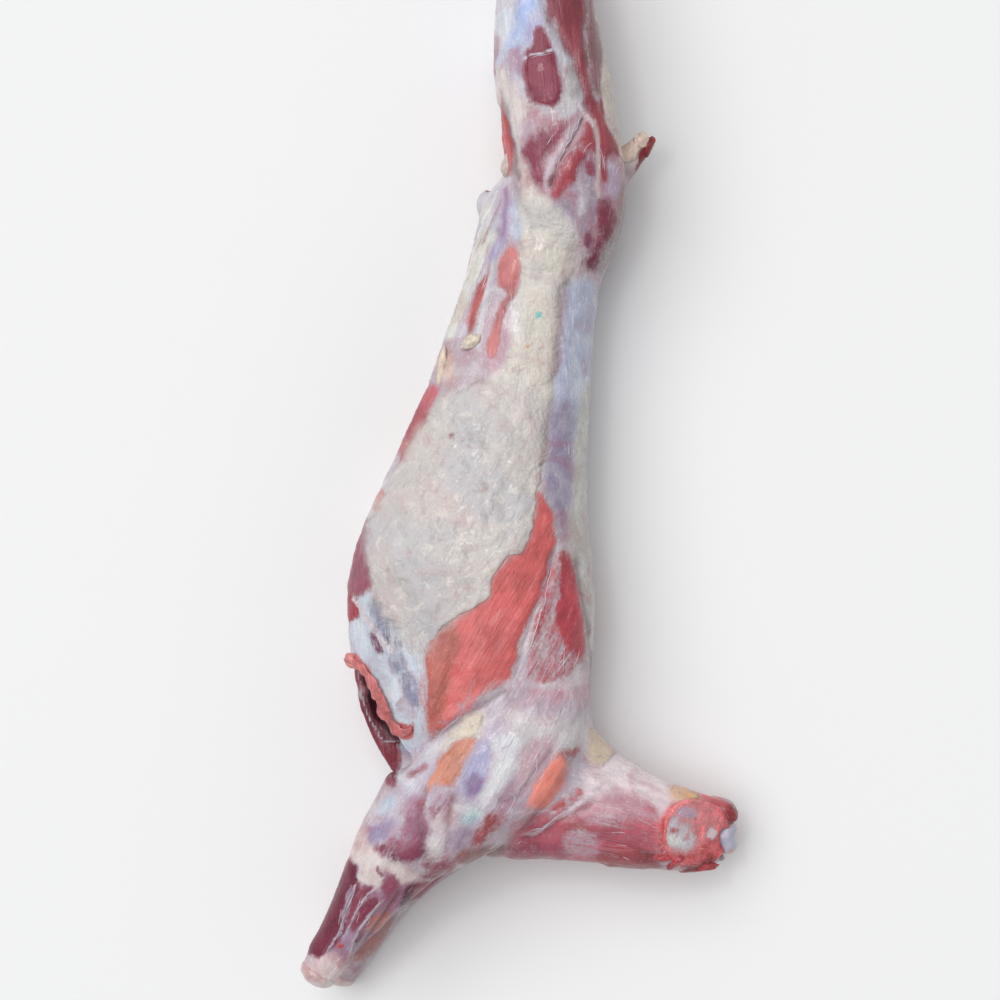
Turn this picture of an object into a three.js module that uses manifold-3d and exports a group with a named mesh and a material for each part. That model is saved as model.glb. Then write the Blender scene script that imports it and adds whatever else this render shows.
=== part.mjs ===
// A raw whole goat carcass, dressed and lying on its side, in millimetres.
//
// The carcass is skinned, headless and drawn, with the feet off at the hocks and knees.
// It keeps the pose of one that hung by its hocks: +Y runs towards the hind legs, +X towards
// the back, and +Z up from the table, towards the side that shows. The trunk is hollow and
// slit along the belly. Every muscle mass is a sweep of oval rings, joined into one solid,
// which is then flattened where it lies on the table. The bones that show at the cuts run
// into the flesh as solids of their own.

import * as THREE from "three";
import { mergeVertices } from "three/addons/utils/BufferGeometryUtils.js";
import Module from "manifold-3d";

// ---------------------------------------------------------------- driving dimensions

const MID = 95; // height of the carcass's own mid-plane above the table
const BONE_GAP = 0.3; // left between a bone and the flesh round it

// Trunk: its belly and back lines, and its half-width, at distances along the body.
const TRUNK = [
  { y: 437, belly: 30, back: 112, half: 52 },
  { y: 379, belly: 6, back: 136, half: 70 },
  { y: 339, belly: -22, back: 146, half: 74 },
  { y: 288, belly: -39, back: 133, half: 70 },
  { y: 241, belly: -55, back: 114, half: 64 },
  { y: 150, belly: -88, back: 105, half: 66 },
  { y: 58, belly: -124, back: 101, half: 79 },
  { y: -34, belly: -164, back: 102, half: 92 },
  { y: -115, belly: -178, back: 110, half: 98 },
  { y: -184, belly: -173, back: 108, half: 98 },
  { y: -247, belly: -161, back: 104, half: 92 },
  { y: -305, belly: -133, back: 110, half: 76 },
  { y: -350, belly: -98, back: 110, half: 56 },
];

// Body cavity: what is left of the trunk inside its walls.
const CAVITY = {
  from: 352, // the pelvic end
  to: -282, // the thoracic inlet, between the shoulders
  flankWall: 11,
  ribWall: 15,
  loinBack: 52, // thickness from the back line to the cavity, at the loin and at the chest
  chestBack: 62,
  bellyLip: 12,
  pelvis: { belly: 20, back: 66 },
  inletInset: 34,
  endShare: 0.5, // how wide its two ends are, against the trunk there
};

// Slit along the belly: how far it reaches in and out, and half its width along the body.
const SLIT_REACH = 34;
const SLIT = [
  { y: 330, half: 12 },
  { y: 285, half: 27 },
  { y: 150, half: 30 },
  { y: 0, half: 24 },
  { y: -120, half: 15 },
  { y: -215, half: 12 },
];

// The split breastbone: the upper half's cut edge stands back from the lower half's.
const BREAST_CUT = { outside: -230, front: -330, above: -8, depth: 120 };
const BREAST_EDGE = [
  [-174, -180],
  [-152, -202],
  [-133, -226],
  [-120, -256],
  [-108, -280],
  [-92, -294],
];

// Limbs, neck and tail: centre, then half-sizes in the side view and across the body.
// z is measured from the mid-plane and is mirrored for the lower limbs where it can be.
const HIND_LEG = [
  { at: [63, 780, 50], deep: 21, wide: 21 },
  { at: [60, 746, 50], deep: 20, wide: 18 },
  { at: [55, 689, 51], deep: 28, wide: 25 },
  { at: [52, 632, 53], deep: 42, wide: 36 },
  { at: [51, 576, 53], deep: 54, wide: 44 },
  { at: [53, 519, 52], deep: 62, wide: 48 },
  { at: [62, 463, 50], deep: 65, wide: 50 },
  { at: [70, 413, 48], deep: 66, wide: 50 },
  { at: [78, 357, 44], deep: 66, wide: 47 },
  { at: [74, 306, 38], deep: 60, wide: 38 },
  { at: [65, 262, 30], deep: 41, wide: 26 },
];
const LOWER_HOCK_DROP = 20; // the lower leg sags from the hip until its hock meets the table

const SHOULDER = [
  { at: [47, -212, 54], deep: 52, wide: 34 },
  { at: [23, -265, 60], deep: 65, wide: 41 },
  { at: [-25, -319, 58], deep: 72, wide: 45 },
  { at: [-73, -361, 54], deep: 64, wide: 42 },
  { at: [-107, -388, 50], deep: 51, wide: 38 },
];
const FORELEG = [
  { at: [-78, -353, 54], deep: 66, wide: 42 },
  { at: [-115, -396, 50], deep: 53, wide: 38 },
  { at: [-144, -440, 42], deep: 39, wide: 33 },
  { at: [-170, -481, 36], deep: 30, wide: 27 },
  { at: [-192, -515, 32], deep: 25, wide: 23 },
  { at: [-204, -534, 30], deep: 23, wide: 21 },
];
const LOWER_FORELEG = [
  { at: [-68, -368, -52], deep: 64, wide: 42 },
  { at: [-108, -413, -56], deep: 54, wide: 38 },
  { at: [-136, -458, -63], deep: 39, wide: 32 },
  { at: [-158, -499, -68], deep: 30, wide: 26 },
  { at: [-176, -533, -71], deep: 26, wide: 23 },
  { at: [-189, -553, -73], deep: 23, wide: 21 },
];
const NECK = [
  { at: [26, -314, 0], deep: 107, wide: 64 },
  { at: [97, -346, 0], deep: 71, wide: 56 },
  { at: [161, -369, -3], deep: 54, wide: 52 },
  { at: [218, -382, -7], deep: 47, wide: 51 },
  { at: [268, -393, -9], deep: 43, wide: 49 },
  { at: [299, -400, -10], deep: 40, wide: 47 },
];
const TAIL = [
  { at: [115, 368, 0], deep: 30, wide: 30 },
  { at: [140, 385, 0], deep: 20, wide: 20 },
  { at: [156, 402, 0], deep: 14, wide: 15 },
  { at: [167, 413, 0], deep: 14, wide: 14 },
];
const COD_FAT = { at: [-17, 342, -28], size: [12, 20, 16] }; // fat at the lower flank's edge

const NECK_FACE = { at: [231, -384, 0], lean: 43 }; // cut that faces the back and up, degrees
const NECK_END = { at: [263, -393, -20], lean: 8 };
const MUSCLE_END = { at: [252, -364, -36], size: [27, 20, 19] }; // behind the leaning face
const VERTEBRA = {
  depth: 70, // how far the bone runs into the neck
  radius: 12,
  below: 40, // from the mid-plane
  proud: 12, // how far its facets stand out of the flesh
  lobe: 9, // a facet's radius
  facets: [
    { aside: 9, up: 3 },
    { aside: -10, up: 1 },
  ],
};
const KNUCKLE = { length: 17, shaft: 9, depth: 44 }; // a limb's bone end and its shaft
const OVERLAP = 2; // what two joined solids share

// ---------------------------------------------------------------- shapes

const wasm = await Module();
wasm.setup();

/** A closed BufferGeometry, seams and all, as a manifold-3d solid. */
function solidOf(geometry) {
  const bare = geometry.clone();
  bare.deleteAttribute("normal");
  bare.deleteAttribute("uv");
  const merged = mergeVertices(bare, 1e-3);
  return new wasm.Manifold(
    new wasm.Mesh({
      numProp: 3,
      vertProperties: new Float32Array(merged.getAttribute("position").array),
      triVerts: new Uint32Array(merged.index.array),
    }),
  );
}

/** A three.js primitive, moved into place, as a solid. */
function placed(geometry, position, turn = new THREE.Quaternion()) {
  const matrix = new THREE.Matrix4().compose(
    new THREE.Vector3(...position),
    turn,
    new THREE.Vector3(1, 1, 1),
  );
  return solidOf(geometry.clone().applyMatrix4(matrix));
}

function geometryOf(solid) {
  const { vertProperties, triVerts } = solid.getMesh();
  const geometry = new THREE.BufferGeometry();
  geometry.setAttribute(
    "position",
    new THREE.Float32BufferAttribute(vertProperties, 3),
  );
  geometry.setIndex(Array.from(triVerts));
  geometry.computeVertexNormals();
  return geometry;
}

/**
 * Oval rings swept smoothly through stations { at, deep, wide } and closed by domes.
 * deep lies in the side view, square to the run, and wide across it. square is the
 * superellipse power of the rings, egg narrows them towards +deep, and fixed keeps
 * the rings square to that direction instead of to the run.
 */
function sweep(stations, { rings, sides, square = 2, egg = 0, dome = 0.6, fixed }) {
  const line = new THREE.CatmullRomCurve3(
    stations.map(({ at: [x, y, z] }) => new THREE.Vector3(x, y, MID + z)),
  );
  const sizes = new THREE.CatmullRomCurve3(
    stations.map(({ deep, wide }) => new THREE.Vector3(deep, wide, 0)),
  );
  const up = new THREE.Vector3(0, 0, 1);
  const points = [];
  const power = (value) => Math.sign(value) * Math.abs(value) ** (2 / square);

  function ring(t, along, scale) {
    const run = fixed ?? line.getTangent(t);
    const deepWay = new THREE.Vector3().crossVectors(up, run).normalize();
    const wideWay = new THREE.Vector3().crossVectors(run, deepWay).normalize();
    const { x: deep, y: wide } = sizes.getPoint(t);
    const reach = along * dome * Math.min(deep, wide);
    const centre = line.getPoint(t).addScaledVector(run, reach);
    if (scale === 0) {
      points.push(centre.x, centre.y, centre.z);
      return;
    }
    for (let side = 0; side < sides; side += 1) {
      const angle = (2 * Math.PI * side) / sides;
      const narrowing = 1 - egg * Math.cos(angle);
      const place = centre
        .clone()
        .addScaledVector(deepWay, deep * scale * power(Math.cos(angle)))
        .addScaledVector(wideWay, wide * scale * narrowing * power(Math.sin(angle)));
      points.push(place.x, place.y, place.z);
    }
  }

  const domeAngles = [60, 30].map(THREE.MathUtils.degToRad);
  ring(0, -1, 0);
  domeAngles.forEach((angle) => ring(0, -Math.sin(angle), Math.cos(angle)));
  for (let step = 0; step <= rings; step += 1) ring(step / rings, 0, 1);
  domeAngles
    .toReversed()
    .forEach((angle) => ring(1, Math.sin(angle), Math.cos(angle)));
  ring(1, 1, 0);

  const faces = [];
  const last = points.length / 3 - 1;
  const ringCount = (last - 1) / sides;
  const vertex = (row, side) => 1 + row * sides + (side % sides);
  for (let side = 0; side < sides; side += 1) {
    faces.push(0, vertex(0, side + 1), vertex(0, side));
    for (let row = 0; row < ringCount - 1; row += 1) {
      const [a, b] = [vertex(row, side), vertex(row, side + 1)];
      const [c, d] = [vertex(row + 1, side + 1), vertex(row + 1, side)];
      faces.push(a, b, d, b, c, d);
    }
    faces.push(last, vertex(ringCount - 1, side), vertex(ringCount - 1, side + 1));
  }
  const geometry = new THREE.BufferGeometry();
  geometry.setAttribute("position", new THREE.Float32BufferAttribute(points, 3));
  geometry.setIndex(faces);
  return solidOf(geometry);
}

/** Stations that run down the body, from belly and back lines. */
const bodyStations = (rows) =>
  rows.map(({ y, belly, back, half }) => ({
    at: [(belly + back) / 2, y, 0],
    deep: (back - belly) / 2,
    wide: half,
  }));

const DOWN_BODY = new THREE.Vector3(0, -1, 0);
const mirrored = (stations) =>
  stations.map(({ at: [x, y, z], ...sizes }) => ({ at: [x, y, -z], ...sizes }));

/** A block whose face stands at a point, square to a direction, and reaches beyond it. */
function blockBeyond(point, direction, size) {
  const way = direction.clone().normalize();
  const turn = new THREE.Quaternion().setFromUnitVectors(
    new THREE.Vector3(1, 0, 0),
    way,
  );
  const centre = point.clone().addScaledVector(way, size / 2);
  return placed(new THREE.BoxGeometry(size, size, size), centre.toArray(), turn);
}

// ---------------------------------------------------------------- trunk

function trunk() {
  return sweep(bodyStations(TRUNK), {
    rings: 30,
    sides: 38,
    square: 2.2,
    egg: -0.1,
    dome: 0.5,
    fixed: DOWN_BODY,
  });
}

/** The hollow inside the trunk, from the pelvis to the thoracic inlet. */
function cavity() {
  const { from, to, flankWall, ribWall, loinBack, chestBack, bellyLip } = CAVITY;
  const { pelvis, inletInset, endShare } = CAVITY;
  const rows = TRUNK.filter(({ y }) => y < from && y > to);
  const chestShare = (y) => THREE.MathUtils.smoothstep(-y, -180, 40);
  const inner = rows.map(({ y, belly, back, half }) => {
    const chest = chestShare(y);
    return {
      y,
      belly: belly + bellyLip,
      back: back - THREE.MathUtils.lerp(loinBack, chestBack, chest),
      half: half - THREE.MathUtils.lerp(flankWall, ribWall, chest),
    };
  });
  const [first, last] = [inner[0], inner.at(-1)];
  const pelvic = { y: from, ...pelvis, half: first.half * endShare };
  const inlet = {
    y: to,
    belly: last.belly + inletInset,
    back: last.back - inletInset,
    half: last.half * endShare,
  };
  return sweep(bodyStations([pelvic, ...inner, inlet]), {
    rings: 22,
    sides: 26,
    square: 2.2,
    dome: 0.4,
    fixed: DOWN_BODY,
  });
}

/** The cut along the belly that opens the cavity: a sweep along the belly line. */
function slit() {
  const bellyAt = new THREE.CatmullRomCurve3(
    TRUNK.map(({ y, belly }) => new THREE.Vector3(belly, y, 0)),
  );
  const line = bellyAt.getPoints(120);
  const stations = SLIT.map(({ y, half }) => {
    const near = line.reduce((a, b) => (Math.abs(b.y - y) < Math.abs(a.y - y) ? b : a));
    return { at: [near.x, y, 0], deep: SLIT_REACH, wide: half };
  });
  return sweep(stations, { rings: 16, sides: 14, square: 3, fixed: DOWN_BODY });
}

/** What is cut from the upper half of the breast, so that its edge stands back. */
function breastCut() {
  const { outside, front, above, depth } = BREAST_CUT;
  const edge = new THREE.SplineCurve(
    BREAST_EDGE.map(([x, y]) => new THREE.Vector2(x, y)),
  );
  const outline = new THREE.Shape();
  outline.moveTo(outside, BREAST_EDGE[0][1]);
  edge.getPoints(14).forEach(({ x, y }) => outline.lineTo(x, y));
  outline.lineTo(BREAST_EDGE.at(-1)[0], front);
  outline.lineTo(outside, front);
  const block = new THREE.ExtrudeGeometry(outline, { depth, bevelEnabled: false });
  return placed(block, [0, 0, MID + above]);
}

// ---------------------------------------------------------------- limbs, neck and tail

const limb = (stations) => sweep(stations, { rings: 22, sides: 18, dome: 0.9 });
const shoulder = (stations) =>
  sweep(stations, { rings: 12, sides: 22, square: 2.2, dome: 0.8 });

/** The lower hind leg: as the upper one, but let down until the hock meets the table. */
function lowerHindLeg() {
  const [hock] = HIND_LEG;
  const hip = HIND_LEG.at(-3);
  return mirrored(HIND_LEG).map(({ at: [x, y, z], ...sizes }) => {
    const share = THREE.MathUtils.clamp((y - hip.at[1]) / (hock.at[1] - hip.at[1]), 0, 1);
    return { at: [x, y, z - LOWER_HOCK_DROP * share ** 2], ...sizes };
  });
}

/** A limb's bone end and the cuts that make room for it. tip is the last station. */
function knuckle(limbSolid, tip, before) {
  const end = new THREE.Vector3(...tip.at).setZ(MID + tip.at[2]);
  const way = end
    .clone()
    .sub(new THREE.Vector3(...before.at).setZ(MID + before.at[2]))
    .normalize();
  const dome = 0.9 * Math.min(tip.deep, tip.wide);
  const cut = end.clone().addScaledVector(way, dome - KNUCKLE.length);
  const reach = 2.6 * tip.deep;
  const standUp = new THREE.Quaternion().setFromUnitVectors(
    new THREE.Vector3(0, 1, 0),
    way,
  );
  const shaftOf = (radius, depth) =>
    placed(
      new THREE.CylinderGeometry(radius, radius, depth + 2 * OVERLAP, 16),
      cut.clone().addScaledVector(way, OVERLAP - depth / 2).toArray(),
      standUp,
    );
  const face = cut.clone().addScaledVector(way, BONE_GAP);
  return {
    bone: limbSolid
      .intersect(blockBeyond(face, way, reach))
      .add(shaftOf(KNUCKLE.shaft, KNUCKLE.depth)),
    room: blockBeyond(cut, way, reach).add(
      shaftOf(KNUCKLE.shaft + BONE_GAP, KNUCKLE.depth + BONE_GAP),
    ),
  };
}

/** The neck's two cuts: the broad face that leans up, and the end. */
function neckCuts() {
  const [tip, before] = [NECK.at(-1), NECK.at(-2)];
  const axis = new THREE.Vector3(
    tip.at[0] - before.at[0],
    tip.at[1] - before.at[1],
    0,
  ).normalize();
  const blockSize = 5 * tip.deep;
  const [face, end] = [NECK_FACE, NECK_END].map(({ at: [x, y, z], lean }) => {
    const angle = THREE.MathUtils.degToRad(lean);
    const way = axis
      .clone()
      .multiplyScalar(Math.cos(angle))
      .add(new THREE.Vector3(0, 0, Math.sin(angle)));
    return blockBeyond(new THREE.Vector3(x, y, MID + z), way, blockSize);
  });
  return face.add(end);
}

/** The last neck bone: a round body that widens into two facets at the cut. */
function vertebra(grow) {
  const { depth, radius, below, proud, lobe, facets } = VERTEBRA;
  const [before, tip] = NECK.slice(-3, -1);
  const lineAt = (x) =>
    THREE.MathUtils.mapLinear(x, before.at[0], tip.at[0], before.at[1], tip.at[1]);
  const inner = NECK_END.at[0] - depth;
  const outer = NECK_END.at[0] + proud;
  const stationAt = (x, size) => ({
    at: [x, lineAt(x), -below],
    deep: size + grow,
    wide: size + grow,
  });
  const body = sweep(
    [
      stationAt(inner - grow, radius * 0.8),
      stationAt(inner + depth / 2, radius * 0.75),
      stationAt(outer - lobe, radius),
    ],
    { rings: 6, sides: 16, dome: 0.5 },
  );
  return facets.reduce((whole, { aside, up }) => {
    const x = outer - lobe;
    const facet = new THREE.SphereGeometry(lobe + grow, 12, 8);
    return whole.add(placed(facet, [x, lineAt(x) + aside, MID - below + up]));
  }, body);
}

// ---------------------------------------------------------------- the whole carcass

const hindStations = HIND_LEG.toReversed();
const lowerHindStations = lowerHindLeg().toReversed();
const limbs = {
  upper_fore: FORELEG,
  lower_fore: LOWER_FORELEG,
  upper_hind: hindStations,
  lower_hind: lowerHindStations,
};
const limbSolids = Object.fromEntries(
  Object.entries(limbs).map(([name, stations]) => [name, limb(stations)]),
);
const bones = Object.fromEntries(
  Object.entries(limbs).map(([name, stations]) => [
    name,
    knuckle(limbSolids[name], stations.at(-1), stations.at(-2)),
  ]),
);

function lump({ at: [x, y, z], size }) {
  return placed(new THREE.SphereGeometry(1, 16, 10).scale(...size), [x, y, MID + z]);
}

const tail = sweep(TAIL, { rings: 6, sides: 16, dome: 0.5 });
const neck = sweep(NECK, { rings: 14, sides: 26, dome: 0.5 });

const masses = [
  lump(COD_FAT),
  tail,
  neck,
  shoulder(SHOULDER),
  shoulder(mirrored(SHOULDER)),
  ...Object.values(limbSolids),
];
const whole = masses.reduce((body, mass) => body.add(mass), trunk().subtract(breastCut()));

const TABLE = { width: 900, length: 1800, thickness: 100, middle: 100 };
const belowTable = placed(
  new THREE.BoxGeometry(TABLE.width, TABLE.length, TABLE.thickness),
  [0, TABLE.middle, -TABLE.thickness / 2],
);
let flesh = whole.subtract(cavity()).subtract(slit());
flesh = flesh.subtract(neckCuts()).add(lump(MUSCLE_END)).subtract(vertebra(BONE_GAP));
for (const { room } of Object.values(bones)) flesh = flesh.subtract(room);
flesh = flesh.subtract(belowTable);

const largestOf = (solid) =>
  solid.decompose().reduce((a, b) => (a.volume() > b.volume() ? a : b));

// ---------------------------------------------------------------- the scene

const fleshMaterial = new THREE.MeshStandardMaterial({
  color: 0xc3908a,
  roughness: 0.42,
  metalness: 0,
});
const boneMaterial = new THREE.MeshStandardMaterial({
  color: 0xdcc9c0,
  roughness: 0.35,
  metalness: 0,
});

const carcass = new THREE.Group();
function addNode(name, solid, material) {
  const mesh = new THREE.Mesh(geometryOf(solid), material);
  mesh.name = name;
  carcass.add(mesh);
}

addNode("carcass", largestOf(flesh), fleshMaterial);
addNode("neck_vertebra", vertebra(0), boneMaterial);
for (const [name, { bone }] of Object.entries(bones)) {
  addNode(`${name}_knuckle`, bone.subtract(belowTable), boneMaterial);
}

// The origin is at the middle of the carcass's footprint, on the table.
const middle = new THREE.Box3().setFromObject(carcass).getCenter(new THREE.Vector3());
carcass.position.set(-middle.x, -middle.y, 0);

export default carcass;
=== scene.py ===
# A raw whole goat carcass lying on its left side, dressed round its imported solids.
# The scene is in metres, and the outlines, depths and widths below are millimetres of the row frame.
import math

import bmesh
import bpy
import numpy as np
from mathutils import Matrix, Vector
from mathutils.bvhtree import BVHTree


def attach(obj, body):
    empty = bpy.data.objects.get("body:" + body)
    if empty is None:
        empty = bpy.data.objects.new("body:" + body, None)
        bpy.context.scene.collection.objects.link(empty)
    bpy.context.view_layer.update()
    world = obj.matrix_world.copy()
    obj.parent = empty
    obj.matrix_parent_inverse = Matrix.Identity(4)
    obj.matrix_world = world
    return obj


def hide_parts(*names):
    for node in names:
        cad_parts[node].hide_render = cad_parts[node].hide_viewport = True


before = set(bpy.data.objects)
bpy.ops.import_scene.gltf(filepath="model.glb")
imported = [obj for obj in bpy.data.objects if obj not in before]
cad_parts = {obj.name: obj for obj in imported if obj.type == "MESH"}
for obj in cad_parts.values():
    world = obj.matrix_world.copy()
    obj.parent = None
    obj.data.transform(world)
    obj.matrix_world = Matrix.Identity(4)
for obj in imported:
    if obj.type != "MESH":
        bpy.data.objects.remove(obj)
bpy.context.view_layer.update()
MM = 0.001


# --- Camera, floor and light ---------------------------------------------------------------------
# The carcass lies with its right side up and is seen from straight above. The floor is plain and pale.
# The light is a bright even sky and a broad soft sun at the upper left, as in a white photo tent, and a
# small lamp gives the wet flesh its glints.

def linear(hex_colour):
    """A hex colour as the linear red, green and blue that the renderer works in."""
    parts = [int(hex_colour[i:i + 2], 16) / 255 for i in (1, 3, 5)]
    return [p / 12.92 if p <= 0.04045 else ((p + 0.055) / 1.055) ** 2.4 for p in parts]


def add(tree, kind, links=None, **settings):
    """One node with its settings. links gives each named input a value or the output that feeds it."""
    made = tree.nodes.new(kind)
    for name, value in settings.items():
        setattr(made, name, value)
    for socket, source in (links or {}).items():
        if isinstance(source, bpy.types.NodeSocket):
            tree.links.new(source, made.inputs[socket])
        else:
            made.inputs[socket].default_value = source
    return made


def new_material(name):
    """An empty node material: the material, its tree and its shader, joined to the output."""
    material = bpy.data.materials.new(name)
    material.use_nodes = True
    tree = material.node_tree
    tree.nodes.clear()
    shader = add(tree, "ShaderNodeBsdfPrincipled")
    add(tree, "ShaderNodeOutputMaterial", {"Surface": shader.outputs["BSDF"]})
    return material, tree, shader


MID_HEIGHT = 95 * MM
CAMERA_HEIGHT = 2875 * MM
PHOTO_MIDDLE = (-26.6 * MM, -112.9 * MM)
camera_data = bpy.data.cameras.new("camera")
camera_data.lens = 90
camera_data.sensor_width = 36
camera = bpy.data.objects.new("camera", camera_data)
camera.location = (*PHOTO_MIDDLE, MID_HEIGHT + CAMERA_HEIGHT)
bpy.context.scene.collection.objects.link(camera)
bpy.context.scene.camera = camera

floor_mesh = bpy.data.meshes.new("floor")
FLOOR_HALF = 6.0
FLOOR_SPECKLE = 333.3 * MM
FLOOR_DARKER = (0.88, 0.88, 0.88, 1)
FLOOR_LIGHTER = (0.92, 0.92, 0.92, 1)
corners = [(x * FLOOR_HALF, y * FLOOR_HALF, 0) for x, y in ((-1, -1), (1, -1), (1, 1), (-1, 1))]
floor_mesh.from_pydata(corners, [], [(0, 1, 2, 3)])
floor = bpy.data.objects.new("floor", floor_mesh)
bpy.context.scene.collection.objects.link(floor)
floor_material, tree, shader = new_material("pale matt floor")
speckle = add(tree, "ShaderNodeTexNoise", {"Scale": 1 / FLOOR_SPECKLE, "Detail": 2.0})
floor_tone = add(tree, "ShaderNodeMix", {0: speckle.outputs["Fac"], 6: FLOOR_DARKER, 7: FLOOR_LIGHTER},
                 data_type="RGBA")
tree.links.new(floor_tone.outputs[2], shader.inputs["Base Color"])
shader.inputs["Roughness"].default_value = 0.7
floor.data.materials.append(floor_material)

SKY_COLOUR = (0.97, 0.985, 1.0, 1)
SKY_STRENGTH = 0.39
world = bpy.data.worlds.new("studio sky")
bpy.context.scene.world = world
world.use_nodes = True
world.node_tree.nodes["Background"].inputs["Color"].default_value = SKY_COLOUR
world.node_tree.nodes["Background"].inputs["Strength"].default_value = SKY_STRENGTH


def aim(thing, target):
    """Turns a lamp towards a point."""
    thing.rotation_euler = (Vector(target) - thing.location).to_track_quat("-Z", "Y").to_euler()


TENT_ENERGY = 1.95
TENT_SPREAD = 60
tent_data = bpy.data.lights.new("tent side", "SUN")
tent_data.energy = TENT_ENERGY
tent_data.angle = math.radians(TENT_SPREAD)
tent = bpy.data.objects.new("tent side", tent_data)
tent.location = (-0.9, 0.6, 2.2)
aim(tent, (0, 0, 0))
bpy.context.scene.collection.objects.link(tent)
GLINT_SIZE = 0.35
GLINT_ENERGY = 4
glint_data = bpy.data.lights.new("glint lamp", "AREA")
glint_data.shape = "DISK"
glint_data.size = GLINT_SIZE
glint_data.energy = GLINT_ENERGY
glint = bpy.data.objects.new("glint lamp", glint_data)
glint.location = (-0.5, 0.35, 2.4)
aim(glint, (-0.03, -0.1, 0.1))
bpy.context.scene.collection.objects.link(glint)
bpy.context.scene.view_settings.view_transform = "Standard"


# --- The flesh: how its tissues lie --------------------------------------------------------------
# A skinned carcass is dark red muscle under a thin bluish-white film, with cream fat over it in places.
# Each list below is one part of the body: where the film takes another tint, where the muscle is bare, and
# where fat covers it, as (tissue, what it is, colour, softness of its edge, strength, outline). After them
# come narrow bands of film as (colour, width, path), and the creases and ridges as (height, width, path),
# below 0 for a crease. The hidden left side has the same muscles, so it takes the same lists.

SHANK = [
    ("film", "silver film of the shank", "#C4B2BC", 10, 1, [
        (-40, 462), (90, 462), (84, 520), (70, 580), (66, 700), (6, 700), (-4, 600), (-24, 530)
    ]),
    ("film", "blue-white film at the front of the shank", "#C3C8DC", 9, 1, [
        (-34, 452), (-8, 458), (2, 500), (8, 545), (4, 590), (-8, 560), (-22, 515)
    ]),
    ("film", "pink film over the hock", "#D4B9B8", 9, 1, [
        (4, 636), (64, 636), (66, 700), (2, 700)
    ]),
    ("muscle", "muscle at the back of the shank", "#8A3D48", 5, 1, [
        (19, 450), (72, 450), (70, 492), (62, 520), (57, 548), (53, 576), (47, 584), (42, 562), (36, 528),
        (26, 495)
    ]),
    ("muscle", "muscle at the front of the shank", "#88405A", 5, 0.95, [
        (-16, 478), (-4, 476), (8, 505), (17, 540), (24, 575), (26, 604), (19, 600), (11, 575), (0, 540),
        (-10, 508)
    ]),
    ("muscle", "thin muscle along the shin", "#97505C", 4, 0.85, [
        (36, 560), (42, 588), (46, 615), (43, 632), (36, 615), (32, 588)
    ]),
    ("fat", "fat down the back of the shank", "#C6BBB2", 4, 1, [
        (80, 450), (94, 450), (86, 488), (76, 524), (70, 520), (75, 486)
    ]),
]
SHANK_BANDS = [
    ("#DDD8DA", 7, [(76, 470), (69, 510), (63, 550), (58, 590), (55, 630), (55, 665)]),
    ("#D2CDD8", 4, [(14, 470), (22, 510), (29, 555), (33, 600), (35, 640)]),
    ("#D6CBD0", 4, [(-22, 500), (-6, 545), (8, 590), (18, 635)]),
]
SHANK_RELIEF = [
    (2.5, 5, [(70, 505), (63, 550), (58, 590), (55, 630)]),
    (-2, 5, [(60, 500), (54, 550), (49, 600), (46, 640)]),
    (-1.5, 4, [(14, 470), (22, 510), (29, 555), (33, 600)]),
]

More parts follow.
